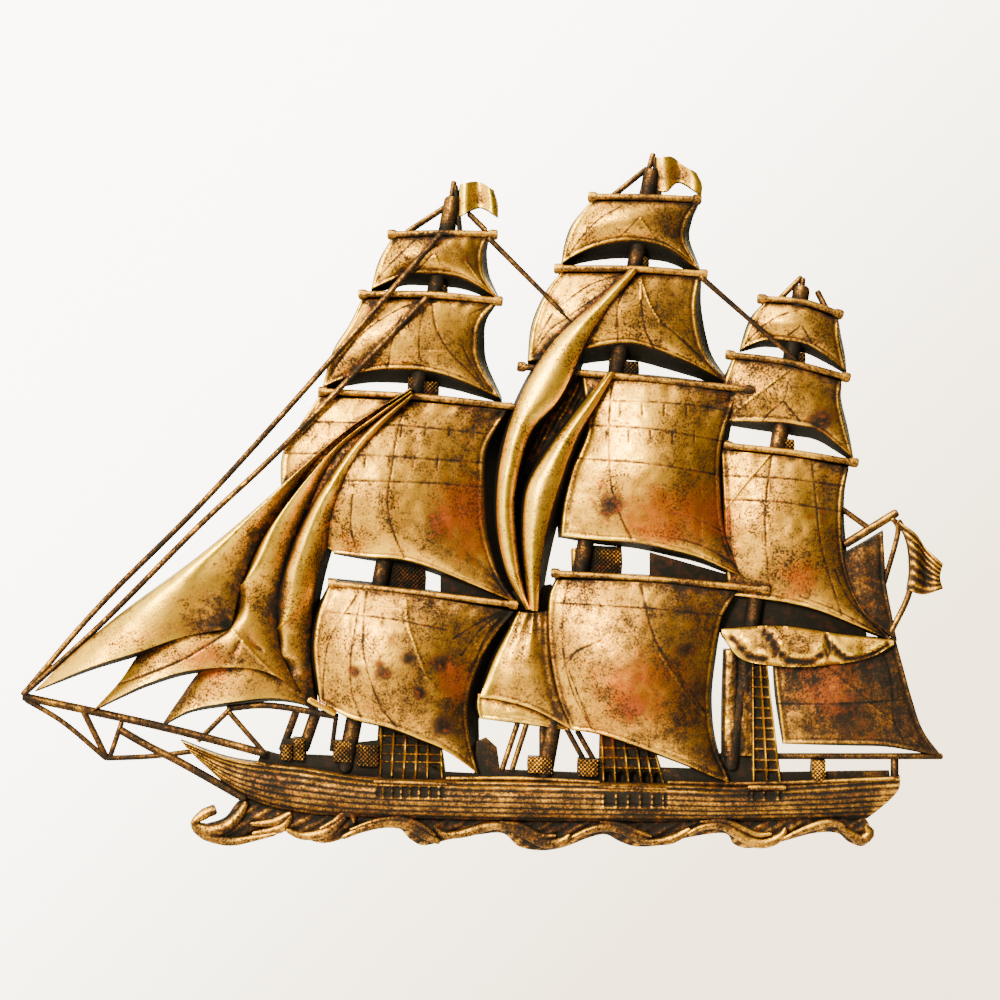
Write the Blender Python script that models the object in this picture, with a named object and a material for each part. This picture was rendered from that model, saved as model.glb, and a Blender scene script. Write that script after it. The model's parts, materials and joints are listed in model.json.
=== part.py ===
"""A decorative wall plaque: one moulded openwork relief of a three-masted clipper ship, antiqued gold.

The flat back lies on the wall at y = 0, the relief rises towards -Y and +Z is up. The layout is drawn
on a grid of equal steps, columns running right and rows running down. The origin is on the back,
midway between the nail seats of the two keyhole slots that the plaque hangs by.
"""

import bisect
import math

import bmesh
import bpy
from mathutils import Vector

# Driving sizes, in metres
LENGTH = 0.660
COURSE_BELLY = 0.023
TOPSAIL_BELLY = 0.018
UPPER_BELLY = 0.012
COURSE_RIM = 0.015
UPPER_RIM = 0.012
JIB_BELLY = 0.009
JIB_TACK_PROUD = 0.012
JIB_SHOULDER_PROUD = 0.030
STAYSAIL_PROUD = 0.029
SPANKER_PROUD = 0.012
FLAG_PROUD = 0.011
FURLED_PROUD = 0.015
HULL_EDGE_PROUD = 0.013
HULL_BELLY = 0.012
SEA_PROUD = 0.014
SEA_RIDGE_WIDTH = 0.0055
BOW_WAVE_WIDTH = 0.0080
WEB_PROUD = 0.007
DECK_PROUD = 0.013
SHROUD_PANEL_PROUD = 0.012
MAST_WIDTH = 0.0120
MAST_PROUD = 0.0140
YARD_THICKNESS = 0.0044
YARD_ARM_KNOB = 0.0070
STAY_THICKNESS = 0.0044
ROD_THICKNESS = 0.0040
POST_WIDTH = 0.0056
BOWSPRIT_THICKNESS = 0.0062
CHANNEL_THICKNESS = 0.0040
CHANNEL_STANDS_OUT = 0.009
KEYHOLE_SPACING = 0.142
KEYHOLE_ENTRY_DIAMETER = 0.0100
KEYHOLE_SLOT_WIDTH = 0.0048
KEYHOLE_DROP = 0.0100
KEYHOLE_LIP = 0.0026
KEYHOLE_DEPTH = 0.0080
KEYHOLE_FLOOR_STEP = 0.0002

# The drawing grid: the ship's length in steps, and the step that stands at the origin
LENGTH_STEPS = 926
ORIGIN_COLUMN = 530
ORIGIN_ROW = 420
GRID = LENGTH / LENGTH_STEPS

CURVE_SUBSTEPS = 12
BAR_SIDES = 5
FLAT_ANGLE = math.radians(0.3)

ROUND_SIDES = 16
CUT_OVERRUN = 0.002

FORMS = "relief_forms"
KEYHOLES = "keyhole_cutters"


def clear_scene():
    for thing in list(bpy.data.objects):
        bpy.data.objects.remove(thing)


def spot(column, row, proud):
    """The place of a grid step that stands `proud` metres off the wall."""
    return Vector(((column - ORIGIN_COLUMN) * GRID, -proud, (ORIGIN_ROW - row) * GRID))


def even(steps):
    """Even shares from 0 to 1."""
    return [step / steps for step in range(steps + 1)]


def smooth_line(points, shares):
    """Points at these shares of the length of the smooth curve through the given ones."""
    knots = [Vector(point) for point in points]
    padded = [knots[0] * 2 - knots[1], *knots, knots[-1] * 2 - knots[-2]]
    dense = []
    for start in range(len(knots) - 1):
        a, b, c, d = padded[start : start + 4]
        for step in range(CURVE_SUBSTEPS):
            t = step / CURVE_SUBSTEPS
            bend = (2 * a - 5 * b + 4 * c - d) * t**2 + (3 * b - a - 3 * c + d) * t**3
            dense.append((2 * b + (c - a) * t + bend) / 2)
    dense.append(knots[-1])
    reached = [0.0]
    for first, second in zip(dense, dense[1:]):
        reached.append(reached[-1] + (second - first).length)
    line = []
    for share in shares:
        target = reached[-1] * share
        place = min(max(bisect.bisect_left(reached, target), 1), len(dense) - 1)
        span = reached[place] - reached[place - 1]
        line.append(dense[place - 1].lerp(dense[place], (target - reached[place - 1]) / span))
    return line


def add_form(name, form, group=FORMS):
    """Keeps a closed form as a helper that the plaque is united from, or cut by."""
    bmesh.ops.recalc_face_normals(form, faces=form.faces)
    bmesh.ops.triangulate(form, faces=form.faces)
    mesh = bpy.data.meshes.new(name)
    form.to_mesh(mesh)
    form.free()
    helper = bpy.data.objects.new(name, mesh)
    helper.hide_render = True
    helper.display_type = "WIRE"
    bpy.data.collections[group].objects.link(helper)
    return helper


def from_rings(name, rings, group=FORMS):
    """A closed solid drawn from ring to ring, each a loop of as many points, with flat ends."""
    form = bmesh.new()
    index = form.verts.layers.int.new("index")
    verts = bmesh.ops.create_circle(form, segments=len(rings[0]), radius=1.0)["verts"]
    for order, vert in enumerate(verts):
        vert[index] = order
        vert.co = rings[0][order]
    edges = list(form.edges)
    for ring in rings[1:]:
        grown = bmesh.ops.extrude_edge_only(form, edges=edges)["geom"]
        edges = [item for item in grown if isinstance(item, bmesh.types.BMEdge)]
        for item in grown:
            if isinstance(item, bmesh.types.BMVert):
                item.co = ring[item[index]]
    bmesh.ops.holes_fill(form, edges=[edge for edge in form.edges if edge.is_boundary])
    return add_form(name, form, group)


def sweep(name, path, stations, section):
    """A closed solid along grid points: section(girth, proud) gives its ring as (outward, depth) pairs."""
    line = smooth_line(path, [share for share, girth in stations])
    rings = []
    for order, (column, row, proud) in enumerate(line):
        ahead = line[min(order + 1, len(line) - 1)]
        behind = line[max(order - 1, 0)]
        along = Vector((ahead.x - behind.x, behind.y - ahead.y)).normalized()
        foot = spot(column, row, 0)
        pairs = section(stations[order][1], proud)
        rings.append([foot + Vector((-along.y * out, -depth, along.x * out)) for out, depth in pairs])
    return from_rings(name, rings)


def bar(name, path, width, steps=1, stations=None):
    """A round bar that stands free of the wall. Each grid point carries how proud its middle stands."""

    def section(girth, proud):
        turns = [2 * math.pi * (side + 0.5) / BAR_SIDES for side in range(BAR_SIDES)]
        half = width / 2 * girth
        return [(half * math.cos(turn), proud + half * math.sin(turn)) for turn in turns]

    return sweep(name, path, stations or [(share, 1.0) for share in even(steps)], section)


def ridge(name, path, width, steps=1, stations=None):
    """A rib that runs back to the wall, rounded along its front. Each grid point carries its height."""

    def section(girth, proud):
        half = width / 2 * girth
        shoulder = proud - half / 2
        return [
            (-half, 0),
            (-half, shoulder),
            (-half / 2, proud),
            (half / 2, proud),
            (half, shoulder),
            (half, 0),
        ]

    return sweep(name, path, stations or [(share, 1.0) for share in even(steps)], section)


def plate(name, outline, proud):
    """A flat plate on the wall, with a straight-sided outline of grid points."""
    back = [spot(column, row, 0) for column, row in outline]
    front = [spot(column, row, proud) for column, row in outline]
    return from_rings(name, [back, front])


def bow(share, least=0.3):
    return least + (1 - least) * math.sin(math.pi * share)


def swell(across, down):
    """How a sail fills, from 0 at its sides to 1, still part full at its head and foot."""
    return math.sin(math.pi * across) ** 0.8 * math.sin(math.pi * (0.12 + 0.76 * down))


def cloth(name, head, foot, luff, leech, cells, proud, skirts):
    """A sail or other relief patch between four edges, with drafted side walls down to the wall.

    head and foot run left to right, and luff and leech hold the points between their ends, top to
    bottom. proud gives the height at shares (across, down), and skirts are the walls' spread at the
    head, luff, leech and foot, in grid steps.
    """
    cells_across, cells_down = cells
    top = smooth_line(head, even(cells_across))
    bottom = smooth_line(foot, even(cells_across))
    left = smooth_line([head[0], *luff, foot[0]], even(cells_down))
    right = smooth_line([head[-1], *leech, foot[-1]], even(cells_down))

    def place(across, down):
        i = round(across * cells_across)
        j = round(down * cells_down)
        upright = top[i].lerp(bottom[i], down)
        level = left[j].lerp(right[j], across)
        corners = top[0].lerp(top[-1], across).lerp(bottom[0].lerp(bottom[-1], across), down)
        return upright + level - corners

    form = bmesh.new()
    bmesh.ops.create_grid(form, x_segments=cells_across, y_segments=cells_down, size=0.5)
    share_across = form.verts.layers.float.new("across")
    share_down = form.verts.layers.float.new("down")
    for vert in form.verts:
        vert[share_across] = vert.co.x + 0.5
        vert[share_down] = 0.5 - vert.co.y
    for vert in form.verts:
        column, row = place(vert[share_across], vert[share_down])
        vert.co = spot(column, row, proud(vert[share_across], vert[share_down]))
    edge = [item for item in form.edges if item.is_boundary]
    over_head, over_luff, over_leech, over_foot = skirts
    grown = bmesh.ops.extrude_edge_only(form, edges=edge)["geom"]
    for vert in (item for item in grown if isinstance(item, bmesh.types.BMVert)):
        across, down = vert[share_across], vert[share_down]
        column, row = place(across, down)
        column -= over_luff * bow(down) * (across < 0.001)
        column += over_leech * bow(down) * (across > 0.999)
        row -= over_head * (down < 0.001)
        row += over_foot * bow(across) * (down > 0.999)
        vert.co = spot(column, row, 0)
    bmesh.ops.holes_fill(form, edges=[item for item in form.edges if item.is_boundary])
    return add_form(name, form)


def sail(name, head, foot, luff, leech, cells, rim, belly, skirts):
    """A square sail: rim is the height of its edges, belly how far it fills."""

    def proud(across, down):
        return rim + belly * swell(across, down)

    return cloth(name, head, foot, luff, leech, cells, proud, skirts)


def yard(name, path):
    """A yard with a knob on each arm."""
    knob = YARD_ARM_KNOB / (GRID * (path[-1][0] - path[0][0]))
    girth = YARD_ARM_KNOB / YARD_THICKNESS
    arm = [(0.0, 0.6 * girth), (0.25 * knob, girth), (0.75 * knob, girth), (knob, 1.0)]
    other_arm = [(1 - share, width) for share, width in reversed(arm)]
    ridge(name, path, YARD_THICKNESS, stations=[*arm, (0.5, 1.0), *other_arm])


def fore_mast():
    ridge("fore_mast", [(453, 196, MAST_PROUD), (344, 772, MAST_PROUD)], MAST_WIDTH)
    ridge("fore_truck", [(454, 180, 0.008), (446, 232, 0.012)], ROD_THICKNESS)
    ridge("fore_truck_right", [(455, 184, 0.008), (460, 232, 0.012)], ROD_THICKNESS)
    ridge("fore_head_stay", [(450, 203, 0.008), (406, 232, 0.014)], ROD_THICKNESS)
    ridge("fore_head_brace", [(468, 212, 0.008), (486, 230, 0.014)], ROD_THICKNESS)
    yard("fore_royal_yard", [(387, 234, 0.016), (445, 233, 0.017), (498, 234, 0.016)])
    yard("fore_topgallant_yard", [(358, 294, 0.018), (430, 294.5, 0.020), (503, 301, 0.018)])
    yard("fore_topsail_yard", [(318, 391, 0.020), (420, 397, 0.022), (526, 408, 0.020)])
    yard("fore_course_yard", [(328, 583, 0.020), (403, 591.5, 0.022), (518, 605, 0.021)])
    sail(
        "fore_royal",
        head=[(391, 238), (440, 237), (488, 235)],
        foot=[(371, 289), (393, 279), (410, 273), (441, 273), (467, 279), (498, 298)],
        luff=[(380, 260)],
        leech=[(482, 253), (484, 275)],
        cells=(6, 4),
        rim=UPPER_RIM,
        belly=UPPER_BELLY,
        skirts=(6, 2, 6, 13),
    )
    sail(
        "fore_topgallant",
        head=[(361, 299), (430, 300), (494, 304)],
        foot=[(322, 387), (346, 377), (370, 370), (396, 368), (427, 370), (459, 379), (500, 398)],
        luff=[(350, 324), (334, 350)],
        leech=[(481, 320), (477, 339), (480, 364)],
        cells=(6, 4),
        rim=UPPER_RIM,
        belly=UPPER_BELLY,
        skirts=(6, 2, 8, 15),
    )
    sail(
        "fore_topsail",
        head=[(318, 397), (410, 402), (507, 410)],
        foot=[(334, 553), (370, 557), (400, 559), (430, 567), (470, 583), (516, 603)],
        luff=[(300, 425), (282, 460), (290, 515)],
        leech=[(486, 447), (483, 480), (485, 530), (498, 575)],
        cells=(6, 6),
        rim=COURSE_RIM,
        belly=TOPSAIL_BELLY,
        skirts=(8, 2, 20, 6),
    )
    sail(
        "fore_course",
        head=[(329, 586), (403, 594), (514, 612)],
        foot=[(320, 702), (350, 718), (388, 727), (420, 739), (447, 751), (478, 774)],
        luff=[(318, 615), (314, 650)],
        leech=[(496, 633), (480, 660), (467, 700), (469, 738)],
        cells=(6, 6),
        rim=COURSE_RIM,
        belly=COURSE_BELLY,
        skirts=(8, 6, 14, 3),
    )


def main_mast():
    ridge("main_mast", [(653, 168, MAST_PROUD), (544, 778, MAST_PROUD)], MAST_WIDTH)
    ridge("main_truck", [(654, 152, 0.008), (641, 197, 0.012)], ROD_THICKNESS)
    ridge("main_truck_right", [(655, 156, 0.008), (660, 197, 0.012)], ROD_THICKNESS)
    ridge("main_head_stay", [(648, 167, 0.008), (612, 196, 0.014)], ROD_THICKNESS)
    yard("main_royal_yard", [(588, 196, 0.016), (645, 197, 0.017), (702, 199, 0.016)])
    yard("main_topgallant_yard", [(554, 268, 0.018), (635, 269, 0.020), (708, 274, 0.018)])
    yard("main_topsail_yard", [(517, 366, 0.018), (615, 376, 0.022), (754, 390, 0.021)])
    yard("main_course_yard", [(551, 573, 0.020), (660, 580, 0.022), (770, 590, 0.021)])
    sail(
        "main_royal",
        head=[(591, 201), (645, 202), (698, 203)],
        foot=[(562, 263), (578, 253), (597, 245), (620, 240), (645, 241), (670, 248), (700, 270)],
        luff=[(574, 223), (566, 244)],
        leech=[(688, 220), (685, 240)],
        cells=(6, 4),
        rim=UPPER_RIM,
        belly=UPPER_BELLY,
        skirts=(6, 2, 6, 18),
    )
    sail(
        "main_topgallant",
        head=[(560, 273), (630, 274), (700, 277)],
        foot=[(528, 361), (560, 357), (590, 347), (621, 342), (646, 345), (690, 362), (731, 384)],
        luff=[(546, 293), (533, 325)],
        leech=[(696, 305), (699, 334), (708, 358)],
        cells=(6, 4),
        rim=UPPER_RIM,
        belly=UPPER_BELLY + 0.001,
        skirts=(6, 2, 8, 18),
    )
    sail(
        "main_topsail",
        head=[(583, 378), (660, 384), (737, 393)],
        foot=[(561, 536), (600, 540), (635, 542), (669, 549), (704, 559), (752, 582)],
        luff=[(588, 428), (572, 470), (564, 505)],
        leech=[(722, 440), (719, 478), (723, 525), (735, 560)],
        cells=(6, 6),
        rim=COURSE_RIM,
        belly=TOPSAIL_BELLY,
        skirts=(9, 10, 10, 7),
    )
    sail(
        "main_course",
        head=[(556, 580), (650, 583), (737, 592)],
        foot=[(572, 730), (600, 734), (640, 747), (680, 762), (710, 775), (730, 783)],
        luff=[(549, 600), (549, 645), (558, 695)],
        leech=[(722, 618), (713, 660), (709, 700), (714, 742)],
        cells=(6, 6),
        rim=COURSE_RIM,
        belly=COURSE_BELLY,
        skirts=(8, 3, 4, 3),
    )


def mizzen_mast():
    ridge("mizzen_mast", [(803, 285, MAST_PROUD), (731, 770, MAST_PROUD)], MAST_WIDTH)
    ridge("mizzen_truck", [(803, 276, 0.008), (779, 300, 0.012)], ROD_THICKNESS)
    ridge("mizzen_truck_right", [(804, 277, 0.008), (801, 305, 0.012)], ROD_THICKNESS)
    ridge("mizzen_spreader", [(818, 290, 0.010), (829, 312, 0.013)], ROD_THICKNESS)
    yard("mizzen_royal_yard", [(758, 298, 0.014), (804, 302, 0.015), (844, 315, 0.014)])
    yard("mizzen_topgallant_yard", [(726, 354, 0.016), (787, 362, 0.017), (851, 378, 0.016)])
    yard("mizzen_topsail_yard", [(724, 445, 0.016), (795, 453, 0.018), (859, 463, 0.017)])
    sail(
        "mizzen_royal",
        head=[(764, 303), (804, 307), (839, 320)],
        foot=[(741, 349), (764, 340), (787, 340), (807, 344), (826, 355), (847, 371)],
        luff=[(752, 319)],
        leech=[(840, 340)],
        cells=(5, 4),
        rim=UPPER_RIM - 0.001,
        belly=UPPER_BELLY - 0.003,
        skirts=(5, 2, 4, 9),
    )
    sail(
        "mizzen_topgallant",
        head=[(733, 359), (787, 366), (842, 382)],
        foot=[(726, 421), (769, 421), (797, 424), (821, 431), (854, 458)],
        luff=[(723, 390)],
        leech=[(840, 400), (845, 425)],
        cells=(6, 4),
        rim=UPPER_RIM,
        belly=UPPER_BELLY - 0.002,
        skirts=(5, 2, 4, 12),
    )
    sail(
        "mizzen_topsail",
        head=[(722, 450), (795, 458), (849, 468)],
        foot=[(729, 595), (756, 598), (790, 603), (821, 611), (856, 625), (893, 641)],
        luff=[(724, 500), (726, 550)],
        leech=[(843, 495), (842, 530), (847, 570), (863, 608)],
        cells=(5, 6),
        rim=UPPER_RIM,
        belly=UPPER_BELLY,
        skirts=(6, 2, 5, 5),
    )


def head_sail(name, top, tack, clew, luff, leech, foot, lift):
    """A long triangular sail that climbs from its tack to its shoulder and narrows to its head."""

    def proud(across, down):
        climb = math.sin(math.pi * min(1.0, 1.25 * (1 - down))) * 0.35 + (1 - down) * 0.65
        shoulder = JIB_TACK_PROUD + (JIB_SHOULDER_PROUD - JIB_TACK_PROUD) * min(1.0, 1.5 * climb)
        over = across * (1 - down * 0.2)
        return shoulder + lift + JIB_BELLY * math.sin(math.pi * over) ** 0.8 - 0.3 * JIB_BELLY * across

    cloth(
        name,
        head=[top, (top[0] + 3, top[1] + 2)],
        foot=[tack, *foot, clew],
        luff=luff,
        leech=leech,
        cells=(4, 9),
        proud=proud,
        skirts=(1, 2, 7, 5),
    )


def head_sails():
    head_sail(
        "outer_jib",
        top=(410, 388),
        tack=(34, 691),
        clew=(231, 628),
        luff=[(340, 437), (270, 497), (200, 555), (120, 614), (70, 656)],
        leech=[(360, 430), (300, 485), (262, 540), (240, 585)],
        foot=[(90, 667), (140, 651), (185, 636)],
        lift=0.002,
    )
    head_sail(
        "inner_jib",
        top=(410, 391),
        tack=(92, 711),
        clew=(274, 655),
        luff=[(380, 410), (320, 460), (240, 545), (170, 625), (122, 680)],
        leech=[(380, 420), (350, 455), (305, 525), (285, 585)],
        foot=[(120, 696), (150, 682), (190, 669), (235, 660)],
        lift=0.0,
    )
    head_sail(
        "fore_staysail",
        top=(411, 394),
        tack=(160, 727),
        clew=(316, 712),
        luff=[(385, 415), (333, 478), (280, 560), (235, 640), (190, 697)],
        leech=[(385, 425), (350, 485), (322, 560), (311, 610), (310, 660)],
        foot=[(190, 710), (230, 702), (270, 698), (300, 703)],
        lift=-0.001,
    )
    bar(
        "jib_sheet",
        [(231, 629, 0.022), (255, 655, 0.024), (285, 681, 0.024), (336, 713, 0.018)],
        STAY_THICKNESS,
        steps=4,
    )
    bar("staysail_foot_rod", [(226, 709, 0.008), (270, 706, 0.010), (338, 717, 0.012)], 0.005, steps=4)


def head_stays():
    bow_tip = (21, 696, 0.008)
    bar(
        "outer_stay",
        [bow_tip, (100, 605, 0.014), (200, 505, 0.018), (300, 395, 0.020), (442, 233, 0.024)],
        STAY_THICKNESS,
        steps=5,
    )
    bar(
        "inner_stay",
        [bow_tip, (100, 625, 0.015), (200, 525, 0.019), (285, 445, 0.022), (428, 297, 0.026)],
        STAY_THICKNESS,
        steps=5,
    )
    narrowing = [(0.0, 1.0), (1.0, 0.7)]
    bar("fore_to_main_stay", [(488, 237, 0.014), (577, 327, 0.020)], STAY_THICKNESS, stations=narrowing)
    bar("main_to_mizzen_stay", [(700, 276, 0.016), (797, 361, 0.015)], STAY_THICKNESS, stations=narrowing)


def bowsprit():
    bar("bowsprit", [(21, 697, 0.006), (160, 727, 0.009), (266, 754, 0.014)], BOWSPRIT_THICKNESS, steps=3)
    bar("martingale", [(24, 700, 0.006), (62, 723, 0.006), (106, 760, 0.006)], ROD_THICKNESS, steps=2)
    bar("dolphin_striker", [(82, 711, 0.007), (106, 760, 0.006)], ROD_THICKNESS * 1.2)
    bar("dolphin_striker_back", [(121, 722, 0.007), (108, 760, 0.006)], ROD_THICKNESS)
    bar("bobstay", [(105, 759, 0.006), (150, 757, 0.007), (192, 752, 0.008)], ROD_THICKNESS, steps=2)
    bar(
        "bob_chain",
        [(118, 730, 0.006), (150, 748, 0.008), (180, 763, 0.009), (246, 800, 0.012)],
        ROD_THICKNESS * 1.5,
        steps=3,
    )
    bar("jib_boom_strut", [(197, 742, 0.010), (231, 708, 0.010)], ROD_THICKNESS)
    bar("jib_boom_strut_back", [(228, 712, 0.010), (263, 752, 0.012)], ROD_THICKNESS)


def stay_strip(name, head, foot, luff, leech, cells, skirts):
    """A long narrow staysail, round across and standing proudest at mid length."""

    def proud(across, down):
        along = 0.66 + 0.34 * math.sin(math.pi * min(1.0, 0.15 + down * 0.8))
        return STAYSAIL_PROUD * along + 0.005 * math.sin(math.pi * across)

    cloth(name, head, foot, luff, leech, cells, proud, skirts)


def staysails():
    stay_strip(
        "main_topmast_staysail",
        head=[(631, 268), (638, 270)],
        foot=[(526, 609), (531, 609)],
        luff=[(602, 296), (552, 344), (519, 400), (501, 460), (497, 520), (507, 573)],
        leech=[(618, 296), (590, 334), (560, 397), (530, 433), (515, 490), (516, 540), (523, 585)],
        cells=(3, 9),
        skirts=(1, 2, 9, 2),
    )
    stay_strip(
        "main_staysail",
        head=[(608, 372), (615, 373)],
        foot=[(529, 610), (538, 611)],
        luff=[(574, 415), (545, 455), (527, 490), (523, 533), (526, 580)],
        leech=[(596, 405), (577, 436), (560, 480), (547, 525), (540, 570)],
        cells=(3, 8),
        skirts=(1, 8, 9, 2),
    )
    sail(
        "lower_staysail",
        head=[(518, 612), (532, 613), (548, 611)],
        foot=[(480, 697), (505, 701), (535, 710), (574, 731)],
        luff=[(508, 632), (494, 660)],
        leech=[(549, 640), (552, 670), (560, 700)],
        cells=(4, 4),
        rim=COURSE_RIM,
        belly=0.006,
        skirts=(1, 4, 2, 3),
    )
    sail(
        "lower_staysail_foot",
        head=[(478, 694), (520, 703), (566, 725)],
        foot=[(480, 719), (520, 723), (570, 731)],
        luff=[(477, 707)],
        leech=[(568, 728)],
        cells=(5, 2),
        rim=UPPER_RIM,
        belly=0.003,
        skirts=(1, 2, 1, 2),
    )


def spanker():
    sail(
        "gaff_sail",
        head=[(838, 558), (862, 545), (884, 532)],
        foot=[(848, 610), (872, 622), (898, 641)],
        luff=[(843, 585)],
        leech=[(885, 564), (887, 590)],
        cells=(3, 4),
        rim=SPANKER_PROUD - 0.002,
        belly=0.003,
        skirts=(2, 1, 2, 2),
    )
    sail(
        "spanker",
        head=[(774, 655), (835, 655), (896, 638)],
        foot=[(784, 744), (853, 744), (893, 746), (943, 757)],
        luff=[(777, 690)],
        leech=[(903, 664), (913, 700), (924, 731)],
        cells=(5, 3),
        rim=SPANKER_PROUD - 0.001,
        belly=0.005,
        skirts=(1, 2, 1, 3),
    )

    def furled(across, down):
        return FURLED_PROUD + 0.009 * math.sin(math.pi * (0.08 + 0.84 * down)) * bow(across, 0.2)

    cloth(
        "furled_sail",
        head=[(722, 629), (780, 626), (839, 634), (893, 640)],
        foot=[(723, 637), (742, 659), (778, 666), (818, 666), (865, 659), (894, 645)],
        luff=[(722, 633)],
        leech=[(894, 642)],
        cells=(7, 3),
        proud=furled,
        skirts=(1, 1, 1, 2),
    )

    def flag(across, down):
        return FLAG_PROUD + 0.002 * math.sin(math.tau * 1.5 * across)

    cloth(
        "stern_flag",
        head=[(900, 522), (917, 534), (927, 548), (944, 564)],
        foot=[(908, 590), (925, 594), (944, 589)],
        luff=[(909, 545), (911, 570)],
        leech=[(941, 577)],
        cells=(5, 2),
        proud=flag,
        skirts=(1, 1, 1, 1),
    )
    cloth(
        "fore_flag",
        head=[(460, 184), (473, 181), (483, 183), (494, 190)],
        foot=[(459, 216), (476, 207), (485, 208), (498, 217)],
        luff=[(459, 200)],
        leech=[(497, 203)],
        cells=(5, 2),
        proud=flag,
        skirts=(1, 2, 1, 1),
    )
    cloth(
        "main_flag",
        head=[(657, 158), (672, 156), (684, 165), (697, 172)],
        foot=[(658, 190), (668, 190), (680, 181), (702, 195)],
        luff=[(657, 174)],
        leech=[(702, 183)],
        cells=(5, 2),
        proud=flag,
        skirts=(1, 2, 1, 1),
    )
    ridge("gaff", [(845, 545, 0.014), (899, 512, 0.010)], 0.006)
    ridge("peak_brace", [(842, 508, 0.010), (871, 529, 0.011)], ROD_THICKNESS)
    bar("ensign_staff", [(893, 518, 0.009), (899, 532, 0.008), (885, 584, 0.008)], ROD_THICKNESS, steps=4)
    bar(
        "ensign_halyard",
        [(899, 520, 0.009), (911, 545, 0.008), (911, 590, 0.008), (890, 636, 0.009)],
        ROD_THICKNESS * 1.15,
        steps=4,
    )
    ridge("boom", [(714, 757, 0.009), (944, 757, 0.010)], ROD_THICKNESS * 1.1)


def hull():
    """The hull, the part that the others are united with."""

    def proud(across, down):
        round_side = HULL_BELLY * math.sin(math.pi * down) ** 0.7
        return HULL_EDGE_PROUD * bow(across, 0.8) + round_side * bow(across, 0.45)

    return cloth(
        "ship_plaque",
        head=[(180, 741), (232, 759), (301, 767), (380, 778), (520, 781), (671, 784), (760, 786), (901, 777)],
        foot=[(204, 766), (232, 790), (261, 804), (300, 813), (371, 818), (600, 822), (800, 821), (868, 819)],
        luff=[(191, 753)],
        leech=[(899, 790), (886, 804)],
        cells=(15, 4),
        proud=proud,
        skirts=(1, 1, 1, 1),
    )


def hull_fittings():
    ledge = HULL_EDGE_PROUD + CHANNEL_STANDS_OUT
    for name, start, end in (
        ("fore_channel", (374, 782), (447, 785)),
        ("main_channel", (598, 788), (668, 790)),
        ("mizzen_channel", (748, 788), (786, 788)),
    ):
        ridge(name, [(*start, ledge), (*end, ledge)], CHANNEL_THICKNESS)


def deck():
    for name, outline in (
        ("fore_shrouds", [(379, 722), (425, 735), (446, 784), (375, 783)]),
        ("main_shrouds", [(600, 728), (648, 748), (667, 789), (600, 788)]),
        ("mizzen_shrouds", [(752, 655), (767, 655), (783, 787), (752, 787)]),
    ):
        plate(name, outline, SHROUD_PANEL_PROUD)
    plate("mizzen_lower_mast", [(724, 650), (752, 650), (752, 756), (722, 756)], MAST_PROUD)
    for name, path in (
        ("fore_stay_fall", [(281, 752, 0.009), (296, 711, 0.011)]),
        ("fore_pin_post", [(301, 752, 0.010), (316, 711, 0.012)]),
        ("fore_fife_post", [(333, 752, 0.009), (339, 714, 0.012)]),
        ("main_brace_left", [(504, 771, 0.011), (518, 723, 0.011)]),
        ("main_brace_right", [(512, 771, 0.011), (526, 724, 0.011)]),
        ("main_fall_left", [(585, 768, 0.010), (564, 728, 0.011)]),
        ("main_fall_right", [(594, 768, 0.010), (574, 731, 0.011)]),
        ("stern_post", [(896, 755, 0.008), (896, 779, 0.010)]),
        ("boom_crutch", [(819, 755, 0.008), (819, 783, 0.010)]),
    ):
        ridge(name, path, POST_WIDTH)
    plate("forward_works", forward_works_outline(), DECK_PROUD)
    plate("after_works", after_works_outline(), DECK_PROUD)


def forward_works_outline():
    """The skyline of the rail, windlass, deckhouses and mast steps, fore shrouds to main shrouds."""
    forecastle = [(376, 783), (300, 776), (256, 764), (262, 750), (279, 755), (281, 740), (302, 737)]
    deckhouse = [(306, 755), (354, 757), (357, 743), (385, 740)]
    waist = [(440, 772), (474, 774), (476, 742), (486, 738), (497, 748), (500, 770)]
    mast_step = [(528, 771), (529, 757), (553, 757), (554, 772)]
    fife_rail = [(577, 773), (578, 759), (604, 759), (604, 788)]
    return [*forecastle, *deckhouse, *waist, *mast_step, *fife_rail]


def after_works_outline():
    """The skyline of the rail and after house, from the main shrouds to the stern."""
    quarter = [(660, 790), (660, 768), (720, 770), (722, 752), (756, 752)]
    return [*quarter, (757, 773), (890, 771), (892, 785), (760, 791)]


def webs():
    """Low plates in the gaps that stay dark, where nothing shows through."""
    for name, outline in (
        ("fore_lower_web", [(440, 574), (505, 596), (505, 604), (440, 596)]),
        ("main_lower_web", [(650, 552), (748, 580), (748, 590), (650, 582)]),
        ("main_upper_web", [(548, 370), (592, 372), (592, 445), (556, 470), (526, 470), (536, 416)]),
        ("clew_web", [(508, 592), (552, 584), (552, 625), (508, 625)]),
        ("mizzen_lower_web", [(714, 584), (850, 608), (868, 634), (868, 642), (722, 634)]),
        ("fore_bunt_web", [(386, 562), (424, 564), (424, 592), (386, 590)]),
        ("main_bunt_web", [(588, 545), (622, 547), (622, 576), (588, 574)]),
    ):
        plate(name, outline, WEB_PROUD)


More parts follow.
